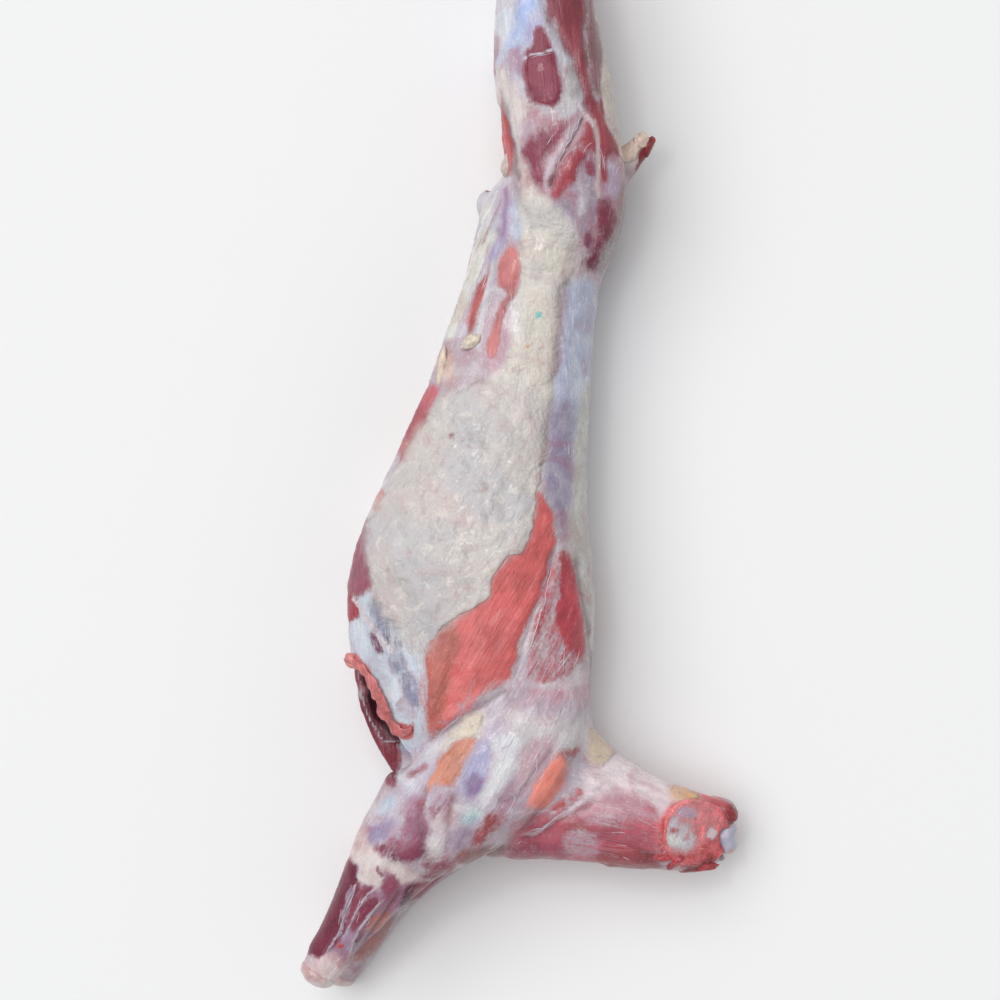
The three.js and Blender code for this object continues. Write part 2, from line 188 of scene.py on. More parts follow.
THIGH = [
    ("film", "blue-white fascia of the thigh", "#C0C7DD", 10, 1, [
        (-38, 466), (23, 465), (29, 431), (18, 409), (5, 393), (-2, 377), (-4, 349), (-27, 358),
        (-40, 377), (-40, 421)
    ]),
    ("film", "bluest of it", "#A4BAEA", 7, 0.9, [
        (-18, 422), (-4, 441), (11, 449), (18, 438), (9, 418), (0, 398), (-9, 392), (-18, 402)
    ]),
    ("film", "white streaks at the front", "#D5D8E2", 5, 1, [
        (-38, 468), (-15, 468), (-11, 444), (-13, 422), (-20, 400), (-27, 397), (-38, 417)
    ]),
    ("film", "violet beside the oval muscle", "#A99FCB", 5, 0.9, [
        (7, 420), (20, 438), (25, 420), (20, 411), (13, 402), (5, 394), (0, 401)
    ]),
    ("film", "mauve before the oval muscle", "#A87A94", 6, 0.9, [
        (-13, 393), (0, 392), (0, 365), (0, 350), (-7, 357), (-12, 375)
    ]),
    ("film", "lavender below it", "#C3BBCB", 6, 1, [
        (-23, 390), (-14, 389), (-9, 366), (0, 348), (7, 328), (-2, 337), (-15, 356), (-23, 372)
    ]),
    ("film", "pink film at the front edge", "#A87884", 4, 0.9, [
        (-44, 416), (-29, 413), (-25, 396), (-28, 382), (-34, 380), (-44, 397)
    ]),
    ("film", "cream film at the front", "#DBCEC8", 8, 1, [
        (-40, 372), (-23, 374), (-13, 356), (-2, 339), (7, 323), (2, 313), (0, 293), (-2, 276), (9, 255),
        (25, 226), (11, 223), (-4, 239), (-12, 268), (-14, 296), (-20, 322), (-28, 345), (-40, 345)
    ]),
    ("film", "pink veil under the oval muscle", "#C193A0", 5, 1, [
        (3, 320), (18, 318), (27, 309), (23, 296), (11, 294), (5, 306)
    ]),
    ("film", "mauve veil over the lower thigh", "#B28994", 9, 1, [
        (-2, 324), (40, 311), (85, 324), (116, 282), (111, 224), (90, 175), (43, 174), (24, 220),
        (-6, 268)
    ]),
    ("film", "purple film over the rump", "#A492A1", 8, 1, [
        (60, 259), (74, 268), (82, 255), (86, 231), (82, 209), (77, 190), (63, 181), (47, 183), (36, 194),
        (29, 218), (43, 222), (49, 235), (58, 246)
    ]),
    ("film", "lavender film by the tail", "#BBA8BE", 5, 1, [
        (94, 267), (103, 263), (113, 247), (109, 230), (98, 221), (89, 227), (91, 247)
    ]),
    # Painted highlight: a whitish spot where the wet film over the rump shines
    ("film", "painted highlight over the rump", "#CECBD2", 4, 0.9, [
        (60, 227), (68, 224), (70, 211), (63, 202), (58, 215)
    ]),
    ("film", "grey edge under the tail", "#8E7C7A", 4, 1, [
        (120, 287), (141, 277), (139, 258), (132, 236), (125, 211), (116, 190), (109, 173), (99, 158),
        (87, 143), (86, 156), (93, 174), (102, 191), (106, 208), (106, 224), (113, 247), (115, 264)
    ]),
    ("muscle", "oval thigh muscle", "#842E44", 3, 1, [
        (15, 412), (23, 412), (28, 400), (31, 387), (37, 384), (40, 373), (42, 358), (44, 347), (45, 336),
        (41, 327), (30, 324), (18, 326), (9, 330), (5, 341), (0, 352), (0, 370), (2, 381), (2, 389),
        (7, 391), (11, 400)
    ]),
    ("muscle", "long muscle at the back of the thigh", "#8A3D48", 3, 1, [
        (19, 465), (72, 469), (71, 423), (66, 408), (66, 394), (73, 377), (71, 360), (78, 344), (82, 328),
        (86, 313), (83, 302), (76, 309), (70, 323), (66, 341), (61, 358), (57, 374), (49, 388), (41, 401),
        (33, 413), (27, 427)
    ]),
    ("muscle", "its browner back edge", "#8A6468", 4, 0.92, [
        (72, 469), (81, 468), (80, 427), (86, 407), (89, 392), (85, 367), (87, 347), (82, 335), (76, 346),
        (73, 377), (67, 393), (67, 410), (71, 427)
    ]),
    ("muscle", "dark strip down to the tail", "#96434C", 3, 1, [
        (85, 336), (90, 336), (91, 314), (98, 301), (107, 291), (110, 280), (106, 270), (99, 276),
        (90, 267), (94, 251), (91, 242), (85, 246), (84, 266), (83, 277), (83, 302), (76, 309), (82, 322)
    ]),
    ("muscle", "red strip at the front edge", "#C0494C", 2, 1, [
        (-42, 348), (-30, 347), (-25, 332), (-20, 316), (-15, 297), (-14, 280), (-14, 269), (-10, 254),
        (-13, 249), (-19, 258), (-23, 277), (-29, 297), (-42, 323)
    ]),
    ("muscle", "lower thigh muscle", "#904457", 7, 1, [
        (18, 301), (31, 298), (38, 307), (47, 309), (47, 300), (40, 289), (32, 278), (27, 270), (19, 266),
        (20, 255), (23, 242), (16, 236), (10, 244), (6, 258), (4, 267), (-4, 276), (0, 287), (9, 292)
    ]),
    ("muscle", "muscle behind the seam", "#A2454F", 5, 0.95, [
        (68, 310), (76, 302), (81, 290), (83, 277), (82, 269), (74, 273), (65, 280), (61, 287), (65, 299)
    ]),
    ("muscle", "muscle below the seam", "#A2434E", 6, 1, [
        (60, 280), (67, 275), (71, 268), (65, 258), (60, 249), (56, 241), (47, 239), (43, 230), (39, 221),
        (31, 221), (30, 232), (35, 244), (41, 254), (46, 265), (51, 275)
    ]),
    ("muscle", "spot over the hip", "#8F4455", 3, 0.85, [
        (69, 268), (76, 266), (80, 255), (78, 247), (71, 251)
    ]),
    ("muscle", "dark rump muscle", "#7C3446", 6, 1, [
        (85, 223), (94, 222), (102, 214), (105, 200), (101, 190), (94, 180), (89, 172), (88, 156),
        (81, 148), (70, 150), (62, 159), (72, 165), (77, 175), (82, 183), (86, 194), (82, 206)
    ]),
    ("muscle", "small rump muscle", "#7A4358", 3, 0.9, [
        (68, 188), (74, 189), (78, 175), (70, 169), (65, 179)
    ]),
    ("film", "white fascia band", "#C2BEC4", 4, 1, [
        (23, 434), (30, 420), (38, 407), (46, 393), (53, 380), (60, 365), (65, 350), (67, 334), (60, 320),
        (47, 311), (31, 309), (18, 317), (8, 324), (11, 328), (23, 322), (36, 324), (43, 327), (47, 338),
        (47, 353), (42, 369), (38, 384), (30, 391), (28, 404), (25, 418)
    ]),
    ("film", "grey foot of the band", "#A9A7A4", 5, 0.8, [
        (48, 373), (56, 369), (63, 350), (62, 334), (51, 322), (47, 328), (49, 345)
    ]),
    ("film", "white band beside the seam", "#CFC2CB", 4, 0.9, [
        (47, 298), (56, 305), (66, 316), (65, 303), (57, 289), (46, 274), (37, 259), (29, 242), (28, 226),
        (24, 235), (22, 250), (27, 265), (36, 278), (42, 289)
    ]),
    ("fat", "fat down the back edge", "#CBC0B6", 3, 1, [
        (81, 472), (106, 472), (104, 404), (106, 371), (113, 348), (120, 317), (118, 305), (125, 299),
        (110, 280), (101, 295), (92, 309), (90, 334), (88, 352), (86, 367), (90, 392), (87, 407),
        (81, 427)
    ]),
    ("film", "mauve-grey root of the tail", "#B29A9E", 4, 1, [
        (113, 272), (123, 276), (130, 278), (130, 265), (125, 248), (118, 246), (110, 255)
    ]),
    ("fat", "fat on the tail", "#E2CBBC", 3, 1, [
        (108, 294), (118, 299), (126, 305), (132, 314), (140, 313), (143, 307), (144, 300), (143, 295),
        (139, 291), (134, 289), (130, 280), (123, 273), (113, 269), (108, 280)
    ]),
    ("muscle", "cut end of the tail", "#8A2A34", 2, 1, [
        (143, 310), (149, 302), (155, 296), (152, 286), (148, 276), (140, 270), (135, 263), (131, 254),
        (128, 262), (129, 275), (131, 285), (136, 290), (142, 292), (144, 299)
    ]),
    ("fat", "cream fat at the groin", "#E4DBD0", 7, 0.9, [
        (-4, 235), (11, 225), (25, 222), (33, 198), (41, 181), (50, 168), (57, 155), (52, 129), (18, 116),
        (0, 129), (3, 154), (-2, 179), (-6, 207)
    ]),
]
THIGH_BANDS = [
    ("#DAD2DA", 3, [(2, 380), (18, 382), (31, 386)]),
    ("#CDB9B8", 4, [(76, 308), (83, 288), (83, 260), (82, 242), (85, 227)]),
    ("#E2D5D8", 3, [(62, 327), (69, 314), (77, 303)]),
]
THIGH_RELIEF = [
    (-3, 3, [(66, 310), (58, 295), (47, 276), (38, 261), (30, 237)]),
    (-2, 5, [(19, 443), (33, 413), (49, 388), (61, 358), (66, 337), (71, 321)]),
    (-2, 4, [(87, 343), (90, 313)]),
    (-2.5, 5, [(-28, 345), (-18, 315), (-13, 279), (-7, 248)]),
    (1.5, 5, [(51, 289), (38, 267), (28, 242)]),
]

FLANK = [
    ("film", "streaked film at the belly edge", "#C5BCC6", 12, 1, [
        (-27, 282), (-4, 235), (-27, 157), (-60, 68), (-94, 0), (-128, -56), (-162, -113), (-218, -181),
        (-218, -90), (-139, 22), (-83, 180), (-49, 259)
    ]),
    ("film", "yellowish strip", "#D8D4C4", 5, 0.9, [
        (-42, 228), (-33, 221), (-49, 170), (-65, 113), (-81, 77), (-90, 80), (-74, 126), (-56, 177)
    ]),
    ("film", "lavender strip", "#A79BC0", 4, 0.9, [
        (-22, 228), (-14, 225), (-18, 190), (-30, 155), (-38, 156), (-27, 190)
    ]),
    ("film", "blue-white film of the flank", "#BEC6DA", 7, 1, [
        (-15, 227), (4, 210), (5, 179), (-13, 173), (-18, 199)
    ]),
    ("film", "pink film beside the red patch", "#C3A0AC", 8, 0.9, [
        (-42, 108), (-9, 104), (-10, 69), (-16, 24), (-42, 31), (-51, 62)
    ]),
    ("film", "peach film above the belly muscle", "#D8B7A6", 7, 0.8, [
        (-92, 57), (-75, 53), (-77, 21), (-90, 16), (-97, 39)
    ]),
    ("fat", "fat over the loin", "#D9D2C8", 10, 0.85, [
        (4, 223), (26, 222), (59, 188), (53, 167), (41, 128), (36, 87), (34, 27), (27, -34), (-42, -46),
        (-60, -1), (-19, 35), (-9, 69), (-10, 104), (3, 146), (0, 160), (6, 181)
    ]),
    ("film", "blue-lavender band along the back", "#B7BDD2", 8, 1, [
        (52, 137), (87, 137), (84, 36), (79, -45), (28, -46), (33, 21), (39, 53), (47, 104)
    ]),
    ("film", "pale blue lumps on the band", "#C8CFE0", 6, 0.8, [(54, 32), (76, 33), (76, -3), (56, -5)]),
    ("film", "purple loin muscle under its film", "#978DA4", 9, 1, [
        (32, -1), (59, 0), (57, -62), (52, -116), (46, -154), (35, -133), (22, -98), (18, -50)
    ]),
    ("film", "silver edge of the back", "#C2C0BA", 6, 1, [
        (62, 23), (92, 23), (92, -125), (98, -187), (100, -251), (98, -339), (78, -329), (74, -293),
        (69, -251), (59, -177), (50, -158), (57, -104)
    ]),
    ("muscle", "red patch of the flank", "#C0706F", 3, 1, [
        (-20, 173), (-11, 169), (-2, 160), (-2, 146), (-12, 114), (-20, 97), (-25, 79), (-32, 49),
        (-41, 46), (-39, 69), (-32, 91), (-27, 111), (-19, 121), (-29, 130), (-29, 150)
    ]),
    ("muscle", "red strip of the flank", "#BF6665", 3, 1, [
        (-43, 143), (-39, 131), (-48, 105), (-55, 75), (-65, 71), (-63, 95), (-56, 119), (-49, 134)
    ]),
    ("muscle", "striped muscle at the belly edge", "#B7636A", 4, 1, [
        (-106, 23), (-97, 14), (-99, -6), (-110, -32), (-126, -50), (-130, -68), (-144, -72),
        (-138, -37), (-127, -9)
    ]),
]
FLANK_BANDS = [
    ("#DAD9CE", 6, [(-38, 188), (-48, 159), (-58, 135), (-66, 114), (-74, 93), (-82, 73)]),
    ("#9F80A4", 4, [(-20, 239), (-20, 221), (-21, 202), (-25, 184)]),
    ("#ABA5CB", 3.5, [(-25, 184), (-31, 171), (-38, 156)]),
    ("#B48B9A", 1.8, [(-25, 228), (-33, 208), (-40, 192), (-46, 179)]),
    ("#E4E7ED", 2.2, [(-30, 238), (-42, 209), (-53, 182), (-64, 153)]),
    ("#B7A9B8", 2, [(-48, 200), (-59, 166), (-71, 130), (-82, 94), (-90, 65)]),
    ("#CFCBD0", 5, [(-36, 155), (-41, 124), (-49, 84), (-51, 56)]),
]
FLANK_RELIEF = [
    (-1.2, 9, [(52, 168), (48, 140), (44, 112), (39, 62), (32, 22)]),
    (-1.5, 6, [(32, -1), (24, -46), (18, -91)]),
    (-0.8, 5, [(-11, 247), (5, 207), (15, 173)]),
    (-1.5, 3, [(-29, 191), (-40, 147), (-56, 102), (-69, 62)]),
    (1.2, 4, [(-38, 227), (-56, 171), (-81, 91), (-106, 23)]),
]

RIBS = [
    ("film", "blue-grey film over the brisket", "#C6CFDA", 8, 1, [
        (-197, -222), (-169, -203), (-134, -259), (-104, -285), (-105, -376), (-121, -436),
        (-165, -413), (-196, -339), (-204, -269), (-199, -247)
    ]),
    ("muscle", "dark muscle under the net", "#6C677F", 6, 0.68, [
        (-174, -225), (-163, -223), (-152, -238), (-141, -260), (-136, -283), (-147, -283), (-159, -264),
        (-168, -246)
    ]),
    ("muscle", "maroon under the net", "#6E3450", 4, 0.8, [
        (-174, -263), (-166, -261), (-159, -272), (-157, -287), (-165, -284), (-172, -275)
    ]),
    ("muscle", "second dark patch under the net", "#79758D", 6, 0.66, [
        (-152, -281), (-138, -283), (-134, -297), (-141, -308), (-150, -297)
    ]),
    ("muscle", "third dark patch under the net", "#7D7A93", 7, 0.66, [
        (-138, -303), (-125, -309), (-118, -327), (-116, -345), (-125, -341), (-134, -325)
    ]),
    ("muscle", "salmon patch at the rib edge", "#DB8F88", 3, 1, [
        (-163, -100), (-155, -104), (-162, -125), (-173, -127)
    ]),
    ("muscle", "muscle along the rib edge", "#9A5466", 4, 1, [
        (-176, -129), (-174, -163), (-172, -187), (-169, -209), (-185, -224), (-213, -215),
        (-213, -173), (-194, -141)
    ]),
    ("muscle", "dark red corner", "#A02C3C", 2, 1, [
        (-210, -221), (-191, -219), (-181, -239), (-194, -254), (-210, -251)
    ]),
    ("muscle", "dark muscle inside the brisket", "#7C2B3A", 3, 1, [
        (-210, -300), (-190, -300), (-179, -330), (-156, -366), (-141, -383), (-142, -413), (-143, -437),
        (-170, -422), (-196, -380)
    ]),
    ("film", "grey film across the slit", "#B4B2BE", 3, 0.9, [
        (-199, -307), (-187, -308), (-178, -321), (-179, -337), (-188, -341), (-196, -333)
    ]),
    ("muscle", "wall of the slit below the lip", "#84303E", 2, 1, [
        (-195, -304), (-183, -310), (-172, -327), (-166, -348), (-160, -364), (-148, -373), (-137, -382),
        (-146, -395), (-156, -390), (-167, -376), (-176, -357), (-186, -339), (-196, -323)
    ]),
    ("muscle", "lip of the slit", "#C2696A", 2, 1, [
        (-203, -290), (-187, -287), (-178, -298), (-166, -315), (-157, -333), (-150, -351), (-143, -362),
        (-131, -366), (-123, -361), (-123, -380), (-139, -384), (-156, -380), (-162, -354), (-169, -336),
        (-178, -319), (-192, -306)
    ]),
    ("film", "blue-white triangle", "#C6CBDD", 3, 1, [
        (-148, -392), (-121, -387), (-127, -414), (-139, -413)
    ]),
    ("film", "white film round the red muscles", "#D3C6CC", 6, 1, [
        (28, -167), (41, -167), (27, -213), (16, -238), (2, -269), (0, -293), (-13, -324), (-27, -341),
        (-38, -335), (-18, -313), (-11, -291), (-11, -269), (5, -238), (19, -208)
    ]),
    ("film", "pale film below the red muscles", "#C6A3AF", 10, 1, [
        (-4, -300), (40, -318), (75, -303), (85, -337), (76, -365), (18, -353), (-15, -349), (-21, -324)
    ]),
    ("fat", "fat over the ribs", "#CEC6C2", 9, 1, [
        (13, -106), (10, -135), (1, -165), (-19, -174), (-37, -199), (-45, -226), (-74, -241), (-98, -264),
        (-111, -286), (-127, -280), (-141, -253), (-163, -225), (-174, -193), (-181, -158), (-172, -124),
        (-153, -94), (-132, -62), (-130, -45), (-108, -17), (-83, 9), (-27, 22), (24, -1), (24, -63),
        (18, -91)
    ]),
    ("fat", "greyer lower part of the sheet", "#C2BBB9", 14, 1, [
        (-171, -209), (-138, -180), (-93, -180), (-49, -207), (-77, -230), (-93, -252), (-110, -286),
        (-133, -269), (-155, -236)
    ]),
    ("fat", "blue-green spot on the loin fat", "#7FC9C6", 0.7, 1, [
        (21, 94), (20, 97), (16, 97), (15, 94), (16, 91), (20, 91)
    ]),
    ("fat", "orange spot on the loin fat", "#D9A070", 0.7, 1, [
        (7, 60), (5, 62), (3, 62), (1, 60), (3, 58), (5, 58)
    ]),
    ("fat", "maroon spot on the sheet", "#8A4A58", 0.8, 1, [
        (-77, -41), (-78, -38), (-82, -38), (-83, -41), (-82, -44), (-78, -44)
    ]),
    ("muscle", "broad red back muscle", "#D16463", 3, 1, [
        (17, -102), (25, -116), (32, -127), (35, -150), (35, -167), (29, -187), (21, -210), (12, -234),
        (2, -252), (-8, -275), (-8, -290), (-14, -305), (-31, -324), (-49, -339), (-77, -358),
        (-105, -378), (-108, -336), (-108, -269), (-93, -235), (-74, -224), (-45, -207), (-38, -180),
        (-19, -152), (-2, -141), (8, -130), (10, -107)
    ]),
    ("muscle", "red muscle behind the shoulder", "#B94550", 4, 1, [
        (36, -168), (52, -172), (60, -197), (65, -233), (70, -251), (73, -283), (59, -302), (40, -314),
        (5, -315), (3, -290), (11, -249), (24, -208)
    ]),
    ("muscle", "browner lower corner of the back muscle", "#B8645A", 8, 1, [
        (-108, -271), (-93, -260), (-80, -249), (-74, -268), (-83, -296), (-89, -336), (-98, -375),
        (-109, -378), (-110, -325)
    ]),
    ("film", "white fringe round the red muscles", "#D8CBD1", 4, 0.6, [
        (33, -176), (38, -180), (38, -214), (33, -238), (36, -260), (47, -283), (68, -298), (63, -326),
        (29, -325), (-7, -324), (0, -300), (14, -269), (24, -238), (29, -208)
    ]),
]
RIBS_BANDS = [
    ("#D9C9CC", 4, [(-192, -226), (-177, -246), (-163, -266), (-147, -281)]),
]
RIBS_RELIEF = [
    (-2, 4, [(34, -171), (25, -208), (11, -238), (-2, -274), (-10, -307)]),
    (2, 6, [(-105, -373), (-77, -353), (-49, -335), (-23, -316)]),
    (1.5, 5, [(41, -171), (28, -213), (16, -247), (6, -285)]),
    (-2.5, 4, [(60, -180), (68, -226), (78, -283), (78, -329)]),
]

SHOULDER = [
    ("film", "pale film over the shoulder", "#BDAEBC", 14, 1, [
        (-60, -335), (-21, -324), (18, -336), (76, -340), (97, -376), (86, -440), (41, -451), (-27, -469),
        (-93, -514), (-183, -527), (-195, -507), (-138, -426)
    ]),
    ("film", "white film at the withers", "#D2C8CA", 10, 1, [
        (-27, -342), (18, -353), (78, -359), (99, -382), (75, -398), (23, -391), (-10, -381)
    ]),
    ("film", "grey-pink film over the chest corner", "#CBC4CE", 6, 1, [
        (-143, -426), (-135, -412), (-116, -393), (-100, -381), (-93, -389), (-102, -407), (-111, -425),
        (-127, -436), (-138, -439)
    ]),
    ("film", "blue film at the front", "#B9C9DC", 5, 0.9, [
        (-165, -462), (-156, -448), (-145, -441), (-140, -447), (-149, -459), (-161, -466)
    ]),
    ("film", "lavender film at the point of the shoulder", "#9C90B0", 6, 1, [
        (-179, -494), (-172, -480), (-156, -470), (-142, -472), (-145, -485), (-160, -492), (-172, -500)
    ]),
    ("film", "mauve veil before the ridge", "#A06C86", 6, 0.95, [
        (-136, -456), (-129, -444), (-118, -441), (-109, -460), (-106, -475), (-110, -489), (-127, -489),
        (-133, -475)
    ]),
    ("film", "pale pink at the point of the shoulder", "#D4BDBC", 5, 1, [
        (-197, -484), (-177, -480), (-174, -495), (-164, -505), (-149, -516), (-139, -521), (-143, -540),
        (-163, -545), (-188, -539), (-202, -536), (-199, -504)
    ]),
    # Painted sheen: blue-lavender film, partly its own tint and partly the purple glint of its wet surface
    ("film", "blue-lavender film with a painted sheen", "#ABAACD", 6, 1, [
        (-53, -380), (-38, -381), (-35, -401), (-42, -421), (-49, -435), (-60, -448), (-69, -437),
        (-69, -418), (-62, -401), (-55, -393)
    ]),
    ("film", "purple middle of the painted sheen", "#8B7199", 5, 0.9, [
        (-64, -419), (-54, -415), (-45, -423), (-47, -435), (-55, -445), (-64, -441)
    ]),
    ("film", "white fascia band of the shoulder", "#DAD8DB", 6, 1, [
        (-33, -377), (-2, -370), (2, -388), (-11, -412), (-27, -435), (-40, -448), (-51, -455),
        (-47, -440), (-39, -421), (-32, -401)
    ]),
    ("film", "mauve film beside the white band", "#B58FA0", 6, 0.9, [
        (-29, -446), (-18, -432), (-7, -415), (2, -415), (2, -431), (-7, -446), (-18, -460), (-27, -463)
    ]),
    ("film", "pink film before the orange-red muscle", "#CBA6B0", 7, 1, [
        (-4, -388), (23, -374), (42, -380), (29, -400), (16, -420), (5, -444), (-4, -442), (-9, -421)
    ]),
    ("film", "pink film under the ridge", "#C4A8AF", 6, 1, [
        (-107, -460), (-87, -455), (-75, -446), (-73, -468), (-87, -486), (-102, -489)
    ]),
    ("film", "blue-green stain", "#A0C2C6", 5, 0.9, [
        (-72, -468), (-62, -455), (-51, -452), (-44, -460), (-53, -471), (-64, -476)
    ]),
    ("film", "lavender film at the elbow", "#9C8799", 6, 1, [
        (-87, -482), (-75, -475), (-58, -477), (-53, -484), (-56, -501), (-73, -503), (-87, -500)
    ]),
    ("film", "grey film behind the point", "#BDB3B1", 5, 1, [
        (-107, -493), (-93, -486), (-88, -503), (-98, -514), (-107, -510)
    ]),
    ("film", "brown film at the elbow", "#8D6865", 4, 1, [
        (-76, -503), (-51, -500), (-20, -499), (-18, -522), (-74, -525)
    ]),
    ("muscle", "orange muscle", "#D18870", 4, 1, [
        (-69, -378), (-55, -376), (-52, -382), (-61, -397), (-68, -408), (-72, -421), (-79, -435),
        (-87, -429), (-95, -428), (-104, -435), (-113, -442), (-108, -428), (-100, -416), (-93, -400),
        (-84, -391), (-76, -383)
    ]),
    ("muscle", "ridge below it", "#A0657A", 6, 0.72, [
        (-99, -447), (-93, -439), (-83, -437), (-81, -445), (-89, -455), (-98, -461), (-104, -467),
        (-103, -455)
    ]),
    ("muscle", "red spot before the ridge", "#A24258", 4, 0.75, [
        (-118, -447), (-111, -443), (-107, -448), (-111, -457), (-117, -457)
    ]),
    ("muscle", "muscle at the point of the shoulder", "#8A4159", 6, 0.95, [
        (-165, -500), (-156, -494), (-140, -491), (-127, -488), (-114, -488), (-112, -498), (-109, -505),
        (-115, -512), (-127, -518), (-139, -518), (-150, -511), (-160, -505)
    ]),
    ("muscle", "purple foot of the veil", "#8F4F68", 7, 0.7, [
        (-136, -476), (-124, -467), (-109, -473), (-107, -489), (-122, -494), (-136, -492)
    ]),
    ("muscle", "dark edge behind it", "#8A4A56", 6, 0.78, [
        (-118, -517), (-102, -516), (-87, -511), (-69, -508), (-79, -523), (-94, -537), (-110, -541),
        (-116, -533), (-105, -526)
    ]),
    ("muscle", "slit in the chest corner", "#A0606C", 3, 0.8, [
        (-132, -426), (-122, -416), (-108, -406), (-110, -414), (-123, -423)
    ]),
    ("muscle", "maroon muscle at the elbow", "#A24A4C", 7, 0.9, [
        (-53, -487), (-45, -471), (-39, -459), (-30, -458), (-25, -469), (-32, -481), (-40, -493),
        (-51, -502), (-56, -495)
    ]),
    ("muscle", "orange-red muscle", "#FC9584", 6, 1, [
        (5, -451), (12, -429), (19, -418), (28, -408), (35, -398), (43, -393), (49, -399), (48, -413),
        (47, -428), (42, -440), (33, -451), (26, -463), (11, -461)
    ]),
    ("muscle", "its dark top", "#B8564E", 4, 0.85, [
        (41, -394), (52, -390), (65, -394), (59, -402), (49, -401)
    ]),
    ("muscle", "red muscle under it", "#C0504F", 4, 0.85, [
        (33, -460), (43, -449), (49, -450), (43, -461), (33, -467)
    ]),
    ("muscle", "red muscle behind it", "#C2666A", 5, 0.75, [
        (51, -448), (59, -440), (69, -434), (67, -443), (59, -452)
    ]),
    ("muscle", "dark muscle before the neck", "#A04454", 5, 0.8, [
        (6, -481), (13, -473), (28, -469), (38, -467), (29, -478), (19, -487), (8, -487)
    ]),
    ("fat", "cream fat on the shoulder", "#DDD0BE", 5, 1, [
        (-93, -394), (-82, -377), (-69, -359), (-49, -349), (-44, -364), (-54, -376), (-69, -377),
        (-80, -382)
    ]),
    ("fat", "cream fat at the withers", "#DCC8AE", 6, 0.8, [
        (78, -373), (90, -382), (104, -399), (95, -409), (82, -414), (73, -402)
    ]),
]
SHOULDER_RELIEF = [
    (-1.5, 4, [(-105, -383), (-77, -362), (-49, -344), (-21, -326)]),
    (-2, 5, [(-76, -440), (-85, -466), (-87, -503)]),
    (2, 8, [(-4, -374), (-15, -412), (-40, -457)]),
    (-1.5, 4, [(-27, -446), (-4, -446), (12, -413), (31, -393)]),
    (2.5, 10, [(-161, -520), (-138, -503), (-93, -497), (-60, -506)]),
    (-2, 5, [(-111, -436), (-116, -463), (-111, -512)]),
]

